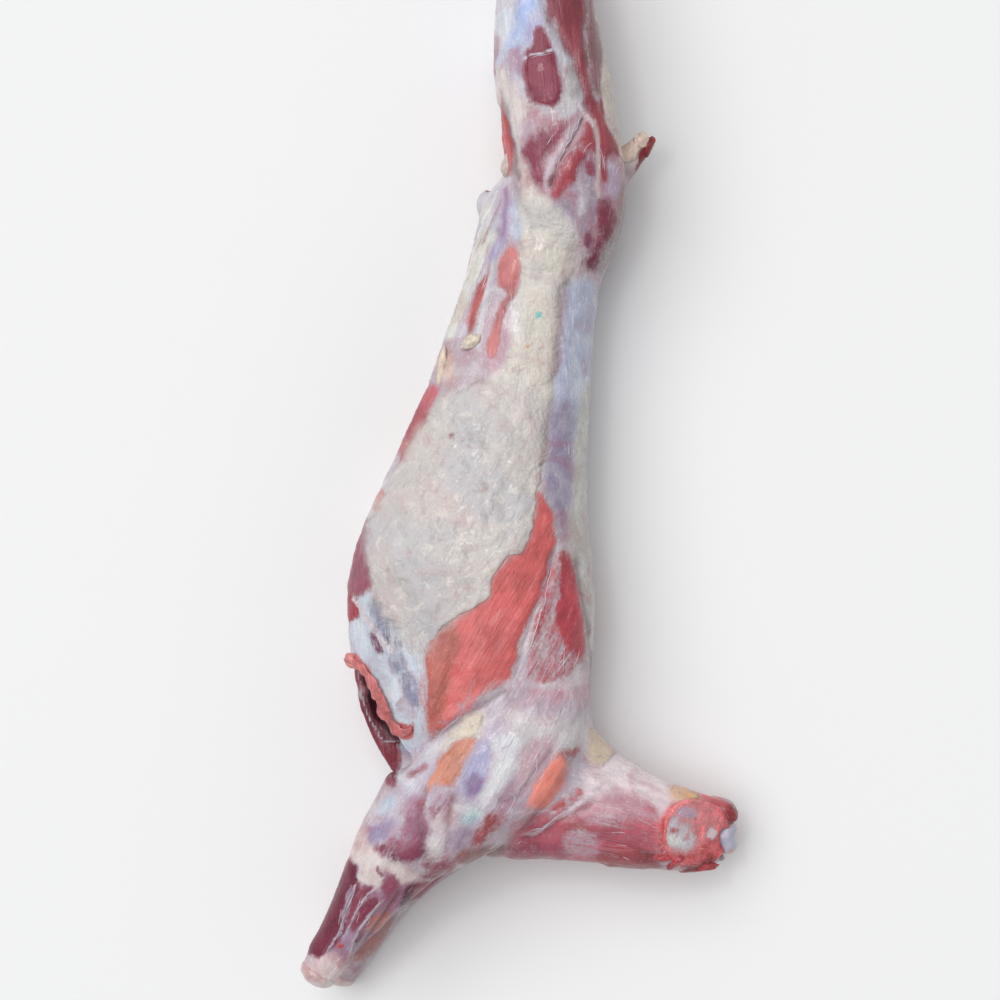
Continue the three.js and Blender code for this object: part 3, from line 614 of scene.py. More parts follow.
NECK = [
    ("film", "pale film of the upper neck", "#F0DFE2", 10, 1, [
        (73, -414), (101, -398), (132, -409), (170, -430), (173, -454), (161, -471), (132, -461),
        (98, -461), (69, -453), (64, -434)
    ]),
    ("muscle", "red side of the neck", "#B55A68", 12, 0.9, [
        (-21, -528), (-13, -484), (7, -467), (41, -465), (75, -466), (109, -461), (143, -467),
        (159, -480), (155, -503), (159, -542), (41, -542), (-21, -542)
    ]),
    ("film", "mauve veil over the upper neck", "#C8929E", 10, 0.95, [
        (41, -458), (75, -447), (109, -441), (144, -449), (157, -462), (159, -477), (120, -474),
        (75, -476), (41, -474)
    ]),
    ("muscle", "start of the neck", "#A0485A", 8, 0.85, [
        (-21, -513), (7, -503), (48, -505), (51, -544), (-27, -544)
    ]),
    ("muscle", "lower edge of the neck", "#AE4C58", 5, 0.9, [
        (89, -512), (104, -506), (132, -509), (146, -519), (143, -544), (92, -544)
    ]),
    ("muscle", "red patch near the shoulder", "#B05A60", 6, 0.8, [
        (44, -475), (55, -467), (66, -470), (72, -479), (61, -484), (50, -482)
    ]),
    ("film", "pale veil near the elbow of the neck", "#C89CAA", 8, 0.62, [
        (48, -488), (69, -484), (86, -495), (82, -512), (64, -519), (48, -510)
    ]),
    ("film", "striped pale film before the face", "#E8D2D6", 5, 1, [
        (139, -444), (158, -443), (171, -454), (164, -466), (157, -475), (149, -466), (141, -455)
    ]),
    ("muscle", "wedge beside it", "#BC707C", 6, 0.75, [
        (137, -459), (145, -454), (150, -466), (152, -475), (143, -469)
    ]),
    ("muscle", "brown edge under the neck", "#96454B", 4, 0.95, [
        (82, -512), (121, -513), (153, -519), (161, -538), (134, -539), (88, -535)
    ]),
    ("muscle", "cut face of the neck", "#E27C80", 4, 1, [
        (154, -477), (159, -466), (169, -457), (183, -454), (202, -456), (222, -466), (237, -474),
        (242, -490), (243, -510), (231, -527), (211, -538), (191, -539), (172, -530), (157, -515),
        (153, -495)
    ]),
    ("muscle", "dark side of the cut face", "#CC4A4E", 5, 1, [
        (211, -507), (223, -504), (233, -494), (244, -501), (243, -517), (229, -529), (214, -536),
        (194, -539), (176, -530), (164, -518), (191, -523), (206, -518)
    ]),
    ("film", "film on the cut face", "#DCD3DC", 5, 0.86, [
        (158, -482), (165, -474), (174, -471), (184, -479), (192, -491), (199, -503), (197, -514),
        (183, -515), (171, -511), (163, -506), (158, -495)
    ]),
    ("film", "mauve part of it", "#C2B0CA", 4, 0.8, [
        (177, -462), (190, -460), (202, -470), (195, -476), (184, -476), (175, -469)
    ]),
    ("film", "white star", "#EDDEE2", 2, 0.9, [
        (212, -498), (217, -489), (220, -492), (226, -497), (221, -505), (213, -504)
    ]),
    ("film", "whitest of the film", "#E9E8E4", 3, 0.95, [
        (159, -493), (168, -490), (178, -497), (188, -505), (183, -510), (171, -505), (161, -502)
    ]),
    ("muscle", "red spot in the film", "#B4504F", 2, 0.9, [
        (166, -485), (177, -485), (176, -491), (167, -491)
    ]),
    ("muscle", "left rim of the face", "#BC4C50", 2, 1, [
        (154, -479), (160, -473), (159, -486), (158, -505), (164, -518), (157, -517), (153, -498)
    ]),
    ("muscle", "darkest foot of the face", "#7E1C24", 2.5, 1, [
        (181, -534), (201, -534), (214, -529), (224, -525), (214, -543), (192, -551), (180, -544)
    ]),
    ("fat", "peach fat", "#E8BCA0", 3, 1, [
        (171, -440), (183, -440), (194, -446), (202, -456), (190, -456), (178, -458), (171, -455),
        (168, -447)
    ]),
    ("fat", "orange middle of it", "#E3B07A", 3, 0.8, [
        (187, -444), (196, -448), (201, -456), (190, -455)
    ]),
    ("muscle", "dark rolled muscle", "#D8646B", 3, 1, [
        (204, -449), (218, -450), (231, -458), (250, -472), (255, -485), (251, -496), (240, -496),
        (237, -478), (222, -466), (205, -456)
    ]),
    ("muscle", "dark end of the roll", "#8E2C33", 3, 1, [
        (237, -467), (250, -473), (256, -486), (247, -489), (239, -491), (236, -479)
    ]),
]
NECK_BANDS = [
    ("#EBBFB2", 2, [(202, -458), (215, -465), (230, -471)]),
    ("#DCCCD2", 5, [(41, -469), (55, -460), (68, -451), (82, -442), (91, -434)]),
    ("#CDB0B8", 4, [(1, -493), (19, -486), (37, -474), (48, -463)]),
    ("#E0C8C4", 3, [(159, -482), (157, -495), (161, -509)]),
    ("#D9B5BC", 2, [(-4, -460), (13, -463), (30, -465), (43, -462)]),
]
NECK_RELIEF = [
    (-2, 5, [(1, -495), (23, -487), (40, -474), (77, -456)]),
    (1.5, 8, [(86, -480), (120, -488), (149, -500)]),
    (-1.5, 4, [(86, -495), (121, -505), (155, -519)]),
]

FORELEG = [
    ("film", "pale pink film of the foreleg", "#C0A3A8", 8, 1, [
        (-195, -507), (-138, -514), (-127, -538), (-144, -568), (-185, -615), (-202, -652), (-251, -664),
        (-251, -608), (-229, -563)
    ]),
    ("film", "brown-pink inner side", "#B88C86", 3, 1, [
        (-141, -549), (-133, -569), (-141, -591), (-153, -610), (-167, -633), (-184, -653), (-200, -653),
        (-202, -640), (-193, -618), (-182, -599), (-167, -579), (-150, -561)
    ]),
    ("film", "purple-pink film between the tendons", "#9C6E86", 4, 1, [
        (-189, -525), (-170, -521), (-140, -528), (-122, -544), (-137, -576), (-163, -606), (-185, -628),
        (-207, -638), (-230, -632), (-220, -615), (-201, -585), (-190, -556)
    ]),
    ("film", "pink film over the knee", "#D9BFBE", 5, 1, [
        (-255, -650), (-244, -628), (-224, -620), (-207, -626), (-200, -643), (-210, -667), (-247, -669)
    ]),
    ("film", "cream film at the elbow", "#D8C7C3", 4, 1, [
        (-195, -509), (-172, -499), (-160, -506), (-147, -517), (-134, -522), (-124, -527), (-116, -538),
        (-129, -539), (-138, -545), (-148, -529), (-156, -523), (-155, -538), (-163, -550), (-171, -544),
        (-181, -546), (-188, -542), (-186, -529), (-195, -520)
    ]),
    ("film", "lavender spot above the maroon muscle", "#A090B2", 3, 0.9, [
        (-193, -524), (-182, -520), (-185, -531), (-190, -531)
    ]),
    ("muscle", "long maroon muscle", "#72263D", 2.5, 1, [
        (-206, -513), (-192, -518), (-184, -527), (-186, -535), (-183, -542), (-183, -550), (-189, -562),
        (-193, -573), (-198, -588), (-204, -601), (-209, -613), (-219, -620), (-231, -632), (-244, -630),
        (-256, -619), (-247, -585), (-233, -551)
    ]),
    ("film", "purple stripe down it", "#6C4A70", 2, 0.75, [
        (-195, -548), (-189, -549), (-193, -563), (-201, -581), (-205, -587), (-201, -567)
    ]),
    ("muscle", "second wedge", "#8C3A50", 3.5, 1, [
        (-196, -565), (-189, -556), (-179, -547), (-171, -545), (-170, -552), (-178, -559), (-185, -568),
        (-192, -582), (-197, -593), (-202, -589)
    ]),
    ("muscle", "third wedge", "#803248", 3.5, 1, [
        (-181, -567), (-174, -559), (-164, -555), (-161, -563), (-167, -574), (-176, -583), (-186, -593),
        (-195, -600), (-196, -593), (-188, -579)
    ]),
    ("muscle", "fourth wedge", "#944A60", 4, 0.9, [
        (-159, -546), (-152, -533), (-145, -529), (-139, -538), (-142, -549), (-149, -558), (-153, -562),
        (-159, -567), (-156, -555)
    ]),
    ("muscle", "spot at the elbow", "#8A5670", 2, 0.85, [
        (-166, -523), (-161, -522), (-155, -533), (-160, -536)
    ]),
    ("muscle", "dark line beside the tendon", "#7A4456", 4, 0.85, [
        (-186, -604), (-176, -589), (-166, -578), (-155, -575), (-163, -587), (-173, -596), (-182, -606),
        (-191, -618), (-197, -618)
    ]),
    ("muscle", "orange spot", "#C4786A", 5, 0.7, [
        (-173, -598), (-166, -585), (-157, -577), (-151, -581), (-158, -595), (-167, -604)
    ]),
    ("muscle", "brown spot", "#B47A76", 5, 0.65, [
        (-188, -629), (-178, -619), (-170, -621), (-177, -632), (-187, -637)
    ]),
    ("muscle", "top of the far leg", "#8C4453", 4, 0.97, [
        (-139, -580), (-138, -562), (-131, -547), (-118, -541), (-98, -540), (-87, -531), (-74, -520),
        (-87, -545), (-105, -563), (-123, -579)
    ]),
    # Painted shadow: a near-black patch where the hollow behind the elbow lies in shade
    ("muscle", "painted shadow in the hollow behind the elbow", "#4E2030", 2, 0.95, [
        (-140, -568), (-136, -553), (-130, -545), (-122, -543), (-130, -555), (-137, -573)
    ]),
    ("muscle", "red dot at the knee", "#B83F40", 1.5, 0.95, [
        (-209, -613), (-203, -612), (-201, -618), (-207, -620)
    ]),
]
FORELEG_BANDS = [
    ("#B7A0B4", 2, [(-187, -546), (-194, -562), (-200, -578), (-207, -597), (-216, -614), (-223, -626)]),
    ("#C6B2B6", 2.5, [(-160, -561), (-170, -575), (-182, -591), (-191, -606), (-196, -626), (-202, -642)]),
    ("#B9A6B4", 2, [(-170, -549), (-180, -561), (-189, -578), (-197, -594), (-204, -608)]),
]
FORELEG_RELIEF = [
    (1.5, 4, [(-187, -546), (-194, -562), (-200, -578), (-207, -597), (-216, -614)]),
    (1.5, 4, [(-160, -561), (-170, -575), (-182, -591), (-191, -606), (-196, -626)]),
    (-2, 3, [(-189, -553), (-197, -571), (-203, -587)]),
    (-3, 4, [(-140, -552), (-155, -576), (-173, -605), (-192, -631)]),
]
PATCHES = SHANK + THIGH + FLANK + RIBS + SHOULDER + NECK + FORELEG
BANDS = SHANK_BANDS + THIGH_BANDS + FLANK_BANDS + RIBS_BANDS + NECK_BANDS + FORELEG_BANDS
RELIEF = (SHANK_RELIEF + THIGH_RELIEF + FLANK_RELIEF + RIBS_RELIEF + SHOULDER_RELIEF + NECK_RELIEF
          + FORELEG_RELIEF)


def rounded(outline, turns=2, closed=True):
    """The outline with its corners cut off, twice over, so that no tissue ends at a sharp point."""
    points = np.array(outline, float)
    for _ in range(turns):
        ends = np.roll(points, -1, 0) if closed else points[1:]
        starts = points if closed else points[:-1]
        cut = np.stack([starts * 0.75 + ends * 0.25, starts * 0.25 + ends * 0.75], 1).reshape(-1, 2)
        points = cut if closed else np.vstack([points[:1], cut, points[-1:]])
    return points


def distance_to_path(plan, path, closed=False):
    """How far each point of the plan is from a path, in mm."""
    ends = np.roll(path, -1, 0) if closed else path[1:]
    starts = path if closed else path[:-1]
    nearest = np.full(len(plan), 1e9)
    for start, end in zip(starts, ends):
        along = end - start
        share = np.clip((plan - start) @ along / max(along @ along, 1e-9), 0, 1)
        gap = plan - start - share[:, None] * along
        nearest = np.minimum(nearest, (gap ** 2).sum(1))
    return np.sqrt(nearest)


def depth_inside(plan, outline):
    """How far inside a closed outline each point lies, in mm, and below 0 outside it."""
    path = rounded(outline)
    reach = 30
    low = path.min(0) - reach
    high = path.max(0) + reach
    near = np.all((plan > low) & (plan < high), 1)
    depth = np.full(len(plan), -float(reach))
    points = plan[near]
    inside = np.zeros(len(points), bool)
    for start, end in zip(path, np.roll(path, -1, 0)):
        crosses = (start[1] > points[:, 1]) != (end[1] > points[:, 1])
        rise = end[1] - start[1] or 1e-9
        level = start[0] + (points[:, 1] - start[1]) / rise * (end[0] - start[0])
        inside ^= crosses & (points[:, 0] < level)
    gap = distance_to_path(points, path, True)
    depth[near] = np.where(inside, gap, -gap)
    return np.maximum(depth, -reach)


def lumps(points, size, seed):
    """Smooth random unevenness from -1 to 1 with lumps of about that size in mm."""
    cells = 32
    table = np.random.default_rng(seed).uniform(-1, 1, (cells, cells, cells))
    scaled = points / size
    corner = np.floor(scaled).astype(int)
    part = scaled - corner
    part = part * part * (3 - 2 * part)
    total = np.zeros(len(points))
    for offset in range(8):
        step = np.array([offset & 1, offset >> 1 & 1, offset >> 2 & 1])
        weight = np.prod(np.where(step, part, 1 - part), 1)
        i, j, k = ((corner + step) % cells).T
        total += weight * table[i, j, k]
    return total


def uneven(points, rows):
    """Lumps of several sizes on top of each other. Each row gives their height, their size and their seed."""
    return sum(height * lumps(points, size, seed) for height, size, seed in rows)


def wandering(points, first_rows, second_rows):
    """How far the plan of each point wanders, in mm, across and along the body."""
    return np.stack([uneven(points, first_rows), uneven(points, second_rows)], 1)


def smooth_step(value, low, high):
    share = np.clip((value - low) / (high - low), 0, 1)
    return share * share * (3 - 2 * share)


# Colours of the tissues where no list says otherwise
PLAIN_FILM = "#B9A6AE"
PLAIN_MUSCLE = "#A2555F"
PLAIN_FAT = "#CCC4BE"
LINING = "#7A3A46"
RIB_TONE = "#A4747A"
# The part of the flank where everything runs slantwise, along the belly edge
FLANK_REGION = [
    (-27, 281), (-15, 225), (-27, 157), (-40, 78), (-60, 22), (-83, -23), (-139, -90), (-218, -180),
    (-218, -90), (-139, 22), (-83, 180), (-49, 259)
]
# The brisket, where the net of threads runs the same way
BRISKET_REGION = [(-215, -180), (-160, -200), (-105, -290), (-104, -380), (-150, -450), (-215, -400)]
RIB_PITCH = 27
RIB_SLANT = 0.25
RIB_RANGE = (-350, 10)
RIB_FADE = 20
# Deep inside a tissue, in widths of its own edge
FAR = 12.0
# How the edges of the tissues wander, as rows for uneven
EDGES_ACROSS = ((2.2, 13, 3), (0.9, 5, 5))
EDGES_ALONG = ((2.2, 13, 4), (0.9, 5, 6))


def ribs(flat):
    """Where the ribs lie under the lining of the chest, from 0 between them to 1, and how far they rise."""
    wave = np.cos((flat[:, 1] + RIB_SLANT * flat[:, 0]) * 2 * math.pi / RIB_PITCH)
    low, high = RIB_RANGE
    there = smooth_step(flat[:, 1], low, low + RIB_FADE) * smooth_step(-flat[:, 1], -high, -high + RIB_FADE)
    return (0.5 + 0.5 * wave) ** 2 * there


def tissues(flat, inner):
    """The tissues at each point in mm: colours of film, muscle and fat, how bare the muscle is and how deep
    in the fat it is, in widths of their own edge, which way the fibres run, and how much painted shade
    darkens it in a crease.
    inner is 1 on the lining of the belly and chest."""
    plan = flat[:, :2] + wandering(flat, EDGES_ACROSS, EDGES_ALONG)
    count = len(flat)
    film = np.tile(linear(PLAIN_FILM), (count, 1))
    muscle = np.tile(linear(PLAIN_MUSCLE), (count, 1))
    fat = np.tile(linear(PLAIN_FAT), (count, 1))
    bare = np.full(count, -FAR)
    cover = np.full(count, -FAR)
    for tissue, _, colour, soft, strength, outline in PATCHES:
        depth = depth_inside(plan, outline)
        paint = np.array(linear(colour))
        edge = depth / soft
        # A tissue of less than full strength lets the one below show through its middle
        most = FAR if strength == 1 else 3 * strength - 1.8
        blur = min(9, 3 * soft)
        if tissue == "film":
            share = (smooth_step(edge, -1, 1) * strength)[:, None]
            film = film * (1 - share) + paint * share
            bare = np.minimum(bare, np.maximum(-edge, -most))
        elif tissue == "muscle":
            share = smooth_step(depth, -blur, 1)[:, None]
            muscle = muscle * (1 - share) + paint * share
            bare = np.maximum(bare, np.minimum(edge, most))
        else:
            share = smooth_step(depth, -blur, 1)[:, None]
            fat = fat * (1 - share) + paint * share
            film = film * (1 - share * 0.6) + paint * share * 0.6
            cover = np.maximum(cover, np.minimum(edge, most))
    for colour, width, path in BANDS:
        edge = 1 - distance_to_path(plan, rounded(path, closed=False)) * 2 / width
        share = smooth_step(edge, -1, 0.6)[:, None]
        film = film * (1 - share) + np.array(linear(colour)) * share
        bare = np.minimum(bare, np.maximum(-2 * edge, -FAR))
    # Painted shade: along each crease that dips below the flesh, the colour is to be darkened as if in shade
    crease_shade = np.zeros(count)
    for height, width, path in RELIEF:
        if height < 0:
            gap = distance_to_path(plan, rounded(path, closed=False))
            crease_shade = np.maximum(crease_shade, -height / 3 * np.exp(-(gap * 1.6 / width) ** 2))
    # Inside, a thin lining lies over the ribs and the muscles between them
    share = ribs(flat)[:, None]
    lining = np.array(linear(LINING)) * (1 - share) + np.array(linear(RIB_TONE)) * share
    share = smooth_step(inner, 0.05, 0.45)[:, None]
    film = film * (1 - share) + lining * share
    muscle = muscle * (1 - share) + lining * share
    bare = np.minimum(bare, FAR * (1 - 2 * inner))
    cover = np.minimum(cover, FAR * (1 - 4 * inner))
    crease_shade = crease_shade * (1 - inner)
    # The fibres run along the thigh and back, across the ribs and forelegs, and along the neck
    on_neck = smooth_step(flat[:, 0], 20, 60) * smooth_step(-flat[:, 1], 380, 420)
    on_back = smooth_step(flat[:, 1], -40, 40) * (1 - smooth_step(depth_inside(plan, FLANK_REGION), -6, 6))
    on_back = np.maximum(on_back, smooth_step(depth_inside(plan, BRISKET_REGION), -6, 6))
    grain = np.stack([on_back * (1 - on_neck), (1 - on_back) * (1 - on_neck), on_neck], 1)
    return {"film": film, "muscle": muscle, "fat": fat, "bare": bare, "cover": cover, "crease_shade": crease_shade,
            "inner": inner, "grain": grain}


def store_tissues(mesh, found):
    """Keeps the tissues on the mesh, where the flesh material reads them."""
    for name, values in found.items():
        values = values.astype(np.float32)
        if name in ("film", "muscle", "fat"):
            layer = mesh.attributes.new(name, "FLOAT_COLOR", "POINT")
            opaque = np.ones((len(values), 1), np.float32)
            layer.data.foreach_set("color", np.hstack([values, opaque]).ravel())
        elif name == "grain":
            layer = mesh.attributes.new(name, "FLOAT_VECTOR", "POINT")
            layer.data.foreach_set("vector", values.ravel())
        else:
            layer = mesh.attributes.new(name, "FLOAT", "POINT")
            layer.data.foreach_set("value", values)


# --- The flesh: its surface ----------------------------------------------------------------------
# Wet flesh: red muscle with fine fibres, a glossy film that thins in streaks, and lumpy matt fat.
# One material for all of it, so that a layer can end anywhere on the body.

FIBRE_ANGLES = (95, 60, 168)
COARSE_LUMP = 13.33
flesh, tree, shader = new_material("wet muscle under film and fat")
place = add(tree, "ShaderNodeTexCoord").outputs["Object"]


def stored(name, output):
    return add(tree, "ShaderNodeAttribute", attribute_name=name).outputs[output]


def noise(size, detail=3.0, roughness=0.55, where=None, distortion=0.0):
    """Noise with lumps of that size in mm."""
    settings = {"Vector": where or place, "Scale": 1 / (size * MM), "Detail": detail, "Roughness": roughness,
                "Distortion": distortion}
    return add(tree, "ShaderNodeTexNoise", settings).outputs["Fac"]


def calculate(operation, first, second=0.0, third=0.0):
    return add(tree, "ShaderNodeMath", {0: first, 1: second, 2: third}, operation=operation).outputs[0]


def ramp(value, low, high, start=0.0, end=1.0):
    """value from low to high turned into start to end, with soft ends."""
    return add(tree, "ShaderNodeMapRange", {0: value, 1: low, 2: high, 3: start, 4: end},
               interpolation_type="SMOOTHSTEP").outputs[0]


def blend_colours(share, first, second):
    colours = {0: share, 6: first, 7: second}
    return add(tree, "ShaderNodeMix", colours, data_type="RGBA").outputs[2]


def scale_colour(colour, factor):
    return add(tree, "ShaderNodeVectorMath", {0: colour, "Scale": factor}, operation="SCALE").outputs[0]


def tone(hex_colour):
    return (*linear(hex_colour), 1)


def along_grain(along, across, detail, distortion=0.0):
    """Noise drawn out along each of the three ways that the muscles run, in streaks along mm long and
    across mm wide."""
    total = None
    for number, angle in enumerate(FIBRE_ANGLES):
        turned = add(tree, "ShaderNodeMapping", {"Vector": place, "Rotation": (0, 0, -math.radians(angle))})
        drawn = add(tree, "ShaderNodeVectorMath", {0: turned.outputs[0], 1: (across / along, 1, 1)},
                    operation="MULTIPLY").outputs[0]
        streak = noise(across, detail, 0.6, drawn, distortion)
        streak = calculate("MULTIPLY", streak, weights.outputs[number])
        total = streak if total is None else calculate("ADD", total, streak)
    return total


def thin_lines(value, width):
    """1 along the middle value of a noise, which makes fine wandering lines, and 0 elsewhere."""
    return ramp(calculate("ABSOLUTE", calculate("SUBTRACT", value, 0.5)), 0.0, width, 1.0, 0.0)


weights = add(tree, "ShaderNodeSeparateXYZ", {0: stored("grain", "Vector")})
# Real fibres are finer than a tenth of a millimetre, and these are as coarse as they need to be to show
fibres = along_grain(41.67, 1.923, 3.0)
bundles = along_grain(90.91, 9.091, 2.0, 0.4)
threads = thin_lines(along_grain(62.5, 11.11, 2.0, 1.6), 0.016)
dashes = along_grain(14.29, 2.381, 2.0)
broad = noise(90.91, 2.0)
patchy = noise(35.71, 3.0, 0.55, distortion=0.6)
coarse = noise(COARSE_LUMP, 3.0, 0.6, distortion=0.4)
fine = noise(3.846, 3.0, 0.6)
# Painted highlights: fine white specks that stand in for the glints of the wet surface, on film and fat
painted_glints = ramp(noise(2.941, 2.0), 0.62, 0.74)
bare = stored("bare", "Fac")
crease_shade = stored("crease_shade", "Fac")

# Muscle: darker and lighter bundles of fibres, with pale ones where some film still clings
muscle_colour = scale_colour(stored("muscle", "Color"), ramp(fibres, 0.3, 0.7, 0.92, 1.08))
muscle_colour = scale_colour(muscle_colour, ramp(bundles, 0.3, 0.7, 0.92, 1.08))
muscle_colour = scale_colour(muscle_colour, ramp(patchy, 0.3, 0.7, 0.84, 1.16))
pale = calculate("MULTIPLY", ramp(bundles, 0.5, 0.7), ramp(fibres, 0.42, 0.66, 0.0, 0.4))
near_edge = ramp(bare, 0.3, 4.5, 0.85, 0.06)
muscle_colour = blend_colours(calculate("MULTIPLY", pale, near_edge), muscle_colour, tone("#D3BCC2"))
# Film: pinker where it is thin and whiter where it is thick, with long white threads in it
film_colour = scale_colour(stored("film", "Color"), ramp(fine, 0.3, 0.7, 0.95, 1.05))
film_colour = scale_colour(film_colour, ramp(bundles, 0.3, 0.7, 0.88, 1.1))
# Thick white film takes white streaks, and a thin veil over dark muscle few
paleness = ramp(add(tree, "ShaderNodeRGBToBW", {0: stored("film", "Color")}).outputs[0], 0.18, 0.55, 0.3, 1.0)


def whiter(share, colour, hex_colour):
    return blend_colours(calculate("MULTIPLY", share, paleness), colour, tone(hex_colour))


thin = calculate("MULTIPLY", ramp(patchy, 0.47, 0.66), ramp(bundles, 0.35, 0.65, 0.1, 0.5))
film_colour = blend_colours(thin, film_colour, stored("muscle", "Color"))
film_colour = blend_colours(ramp(broad, 0.5, 0.68, 0.0, 0.25), film_colour, tone("#B4B8CC"))
film_colour = whiter(ramp(patchy, 0.5, 0.3, 0.0, 0.5), film_colour, "#DFDBDD")
lines = calculate("MULTIPLY", threads, ramp(patchy, 0.6, 0.4, 0.0, 0.6))
film_colour = whiter(lines, film_colour, "#EDE8EA")
film_colour = whiter(ramp(dashes, 0.58, 0.72, 0.0, 0.45), film_colour, "#EFEBED")
# Painted highlights: white specks on the film
film_colour = whiter(calculate("MULTIPLY", painted_glints, 0.4), film_colour, "#F6F3F4")
# Where the muscle is bare: the edge frays along the fibres
fray = calculate("MULTIPLY", calculate("SUBTRACT", bundles, 0.5), 2.8)
fray = calculate("MULTIPLY_ADD", calculate("SUBTRACT", fibres, 0.5), 1.6, fray)
fray = calculate("MULTIPLY_ADD", calculate("SUBTRACT", coarse, 0.5), 1.5, fray)
fray = calculate("MULTIPLY_ADD", calculate("SUBTRACT", fine, 0.5), 1.8, fray)
is_bare = ramp(calculate("ADD", fray, bare), -1.0, 1.0)
colour = blend_colours(is_bare, film_colour, muscle_colour)
# Fat: lumpy, from cream to grey where it is thin, with pinker spots
fat_colour = scale_colour(stored("fat", "Color"), ramp(fine, 0.3, 0.7, 0.94, 1.05))
fat_colour = blend_colours(ramp(patchy, 0.5, 0.68, 0.0, 0.45), fat_colour, tone("#C9B0B0"))
fat_colour = blend_colours(ramp(broad, 0.47, 0.64, 0.0, 0.45), fat_colour, tone("#B9BAC2"))
fat_colour = blend_colours(ramp(coarse, 0.46, 0.3, 0.0, 0.6), fat_colour, tone("#E4DCD0"))
fat_colour = blend_colours(ramp(coarse, 0.6, 0.72, 0.0, 0.5), fat_colour, tone("#BE9894"))
# Painted highlights: white specks on the fat
fat_colour = blend_colours(calculate("MULTIPLY", painted_glints, 0.35), fat_colour, tone("#F2EDE6"))
lumpy = calculate("MULTIPLY_ADD", calculate("SUBTRACT", patchy, 0.5), 2.4, stored("cover", "Fac"))
is_fat = ramp(lumpy, -1.0, 1.0)
colour = blend_colours(is_fat, colour, fat_colour)
# Painted shade: the creases are darkened towards a red-brown, as if they lay in shade
colour = blend_colours(calculate("MULTIPLY", crease_shade, 0.7), colour, tone("#6A3A42"))
tree.links.new(colour, shader.inputs["Base Color"])

# Wet gloss: film shines most, fat least
gloss = ramp(coarse, 0.3, 0.7, 0.26, 0.4)
tree.links.new(calculate("MULTIPLY_ADD", is_fat, 0.14, gloss), shader.inputs["Roughness"])
height = calculate("MULTIPLY", fibres, ramp(is_bare, 0.0, 1.0, 0.3, 0.7))
height = calculate("MULTIPLY_ADD", coarse, ramp(is_fat, 0.0, 1.0, 1.0, 1.8), height)
height = calculate("MULTIPLY_ADD", patchy, ramp(is_fat, 0.0, 1.0, 0.5, 5.0), height)
height = calculate("MULTIPLY_ADD", bundles, 1.3, height)
height = calculate("MULTIPLY_ADD", lines, 0.4, height)
height = calculate("MULTIPLY_ADD", fine, 0.7, height)
bump = add(tree, "ShaderNodeBump", {"Height": height, "Strength": 0.75, "Distance": 1.6 * MM})
tree.links.new(bump.outputs[0], shader.inputs["Normal"])


def surface(shader, settings):
    """Sets what is the same all over a surface. Light scatters a few millimetres deep in all of them."""
    for socket, value in settings.items():
        shader.inputs[socket].default_value = value
    shader.inputs["Subsurface Scale"].default_value = SCATTER_DEPTH


SCATTER_DEPTH = 3 * MM
# Red light goes furthest through flesh
FLESH_SCATTER = (1.0, 0.4, 0.3)
surface(shader, {"IOR": 1.38, "Coat Weight": 0.25, "Coat Roughness": 0.09, "Subsurface Weight": 0.08,
                 "Subsurface Radius": FLESH_SCATTER})


# --- The carcass ---------------------------------------------------------------------------------
# The body in one piece, from the shanks to the neck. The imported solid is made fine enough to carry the
# muscles' bulges and creases, which are pressed into it from the lists above.

VOXEL = 3.4 * MM
SMOOTHING_TURNS = 14
# Where the belly and chest are: the back, the ends, and how far above and below the middle, in mm
CAVITY_BACK = 60
CAVITY_ENDS = (-390, 250)
CAVITY_HALF = 68
# The widest way across the cavity
CAVITY_REACH = 260 * MM
LOOK_TILT = 0.9
LINING_TURNS = 6
LINING_SHARES = (0.25, 0.5)
# Flesh this close to the table is pressed flat, and none of it comes nearer than the gap
PRESSED_FLAT = 1.5 * MM
TABLE_GAP = 0.2 * MM
MUSCLE_BULGE = 1.2
RIB_RISE = 3
FLESH_LUMPS = ((1.1, 26, 11), (0.6, 11, 12))
FAT_LUMPS = ((1.3, 19, 13), (0.9, 9, 14))


def as_arrays(mesh):
    points = np.zeros(len(mesh.vertices) * 3)
    mesh.vertices.foreach_get("co", points)
    normals = np.zeros(len(mesh.vertices) * 3)
    mesh.vertices.foreach_get("normal", normals)
    return points.reshape(-1, 3), normals.reshape(-1, 3)


def put_points(mesh, points):
    mesh.vertices.foreach_set("co", points.ravel())
    mesh.update()


def fine_copy(nodes, name, voxel):
    """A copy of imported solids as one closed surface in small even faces."""
    together = bmesh.new()
    for node in nodes:
        together.from_mesh(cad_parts[node].data)
    rough_mesh = bpy.data.meshes.new(name + " rough")
    together.to_mesh(rough_mesh)
    together.free()
    rough = bpy.data.objects.new(name + " rough", rough_mesh)
    bpy.context.scene.collection.objects.link(rough)
    remesh = rough.modifiers.new("even faces", "REMESH")
    remesh.mode = "VOXEL"
    remesh.voxel_size = voxel
    mesh = bpy.data.meshes.new_from_object(rough.evaluated_get(bpy.context.evaluated_depsgraph_get()))
    bpy.data.objects.remove(rough)
    mesh.materials.clear()
    mesh.name = name
    made = bpy.data.objects.new(name, mesh)
    bpy.context.scene.collection.objects.link(made)
    mesh.polygons.foreach_set("use_smooth", np.ones(len(mesh.polygons), bool))
    return made


def smoothed(mesh, points, turns):
    """The points after each has moved halfway to the middle of its neighbours, turns times."""
    edges = np.zeros(len(mesh.edges) * 2, int)
    mesh.edges.foreach_get("vertices", edges)
    start, end = edges.reshape(-1, 2).T
    count = len(points)
    neighbours = np.bincount(start, minlength=count) + np.bincount(end, minlength=count)
    for _ in range(turns):
        total = np.stack([np.bincount(start, column[end], count) + np.bincount(end, column[start], count)
                          for column in points.T], 1)
        points = (points + total / neighbours[:, None]) / 2
    return points


def faces_tree(mesh, points):
    """The faces of a mesh, ready to be hit by straight lines."""
    return BVHTree.FromPolygons([tuple(p) for p in points], [tuple(f.vertices) for f in mesh.polygons])


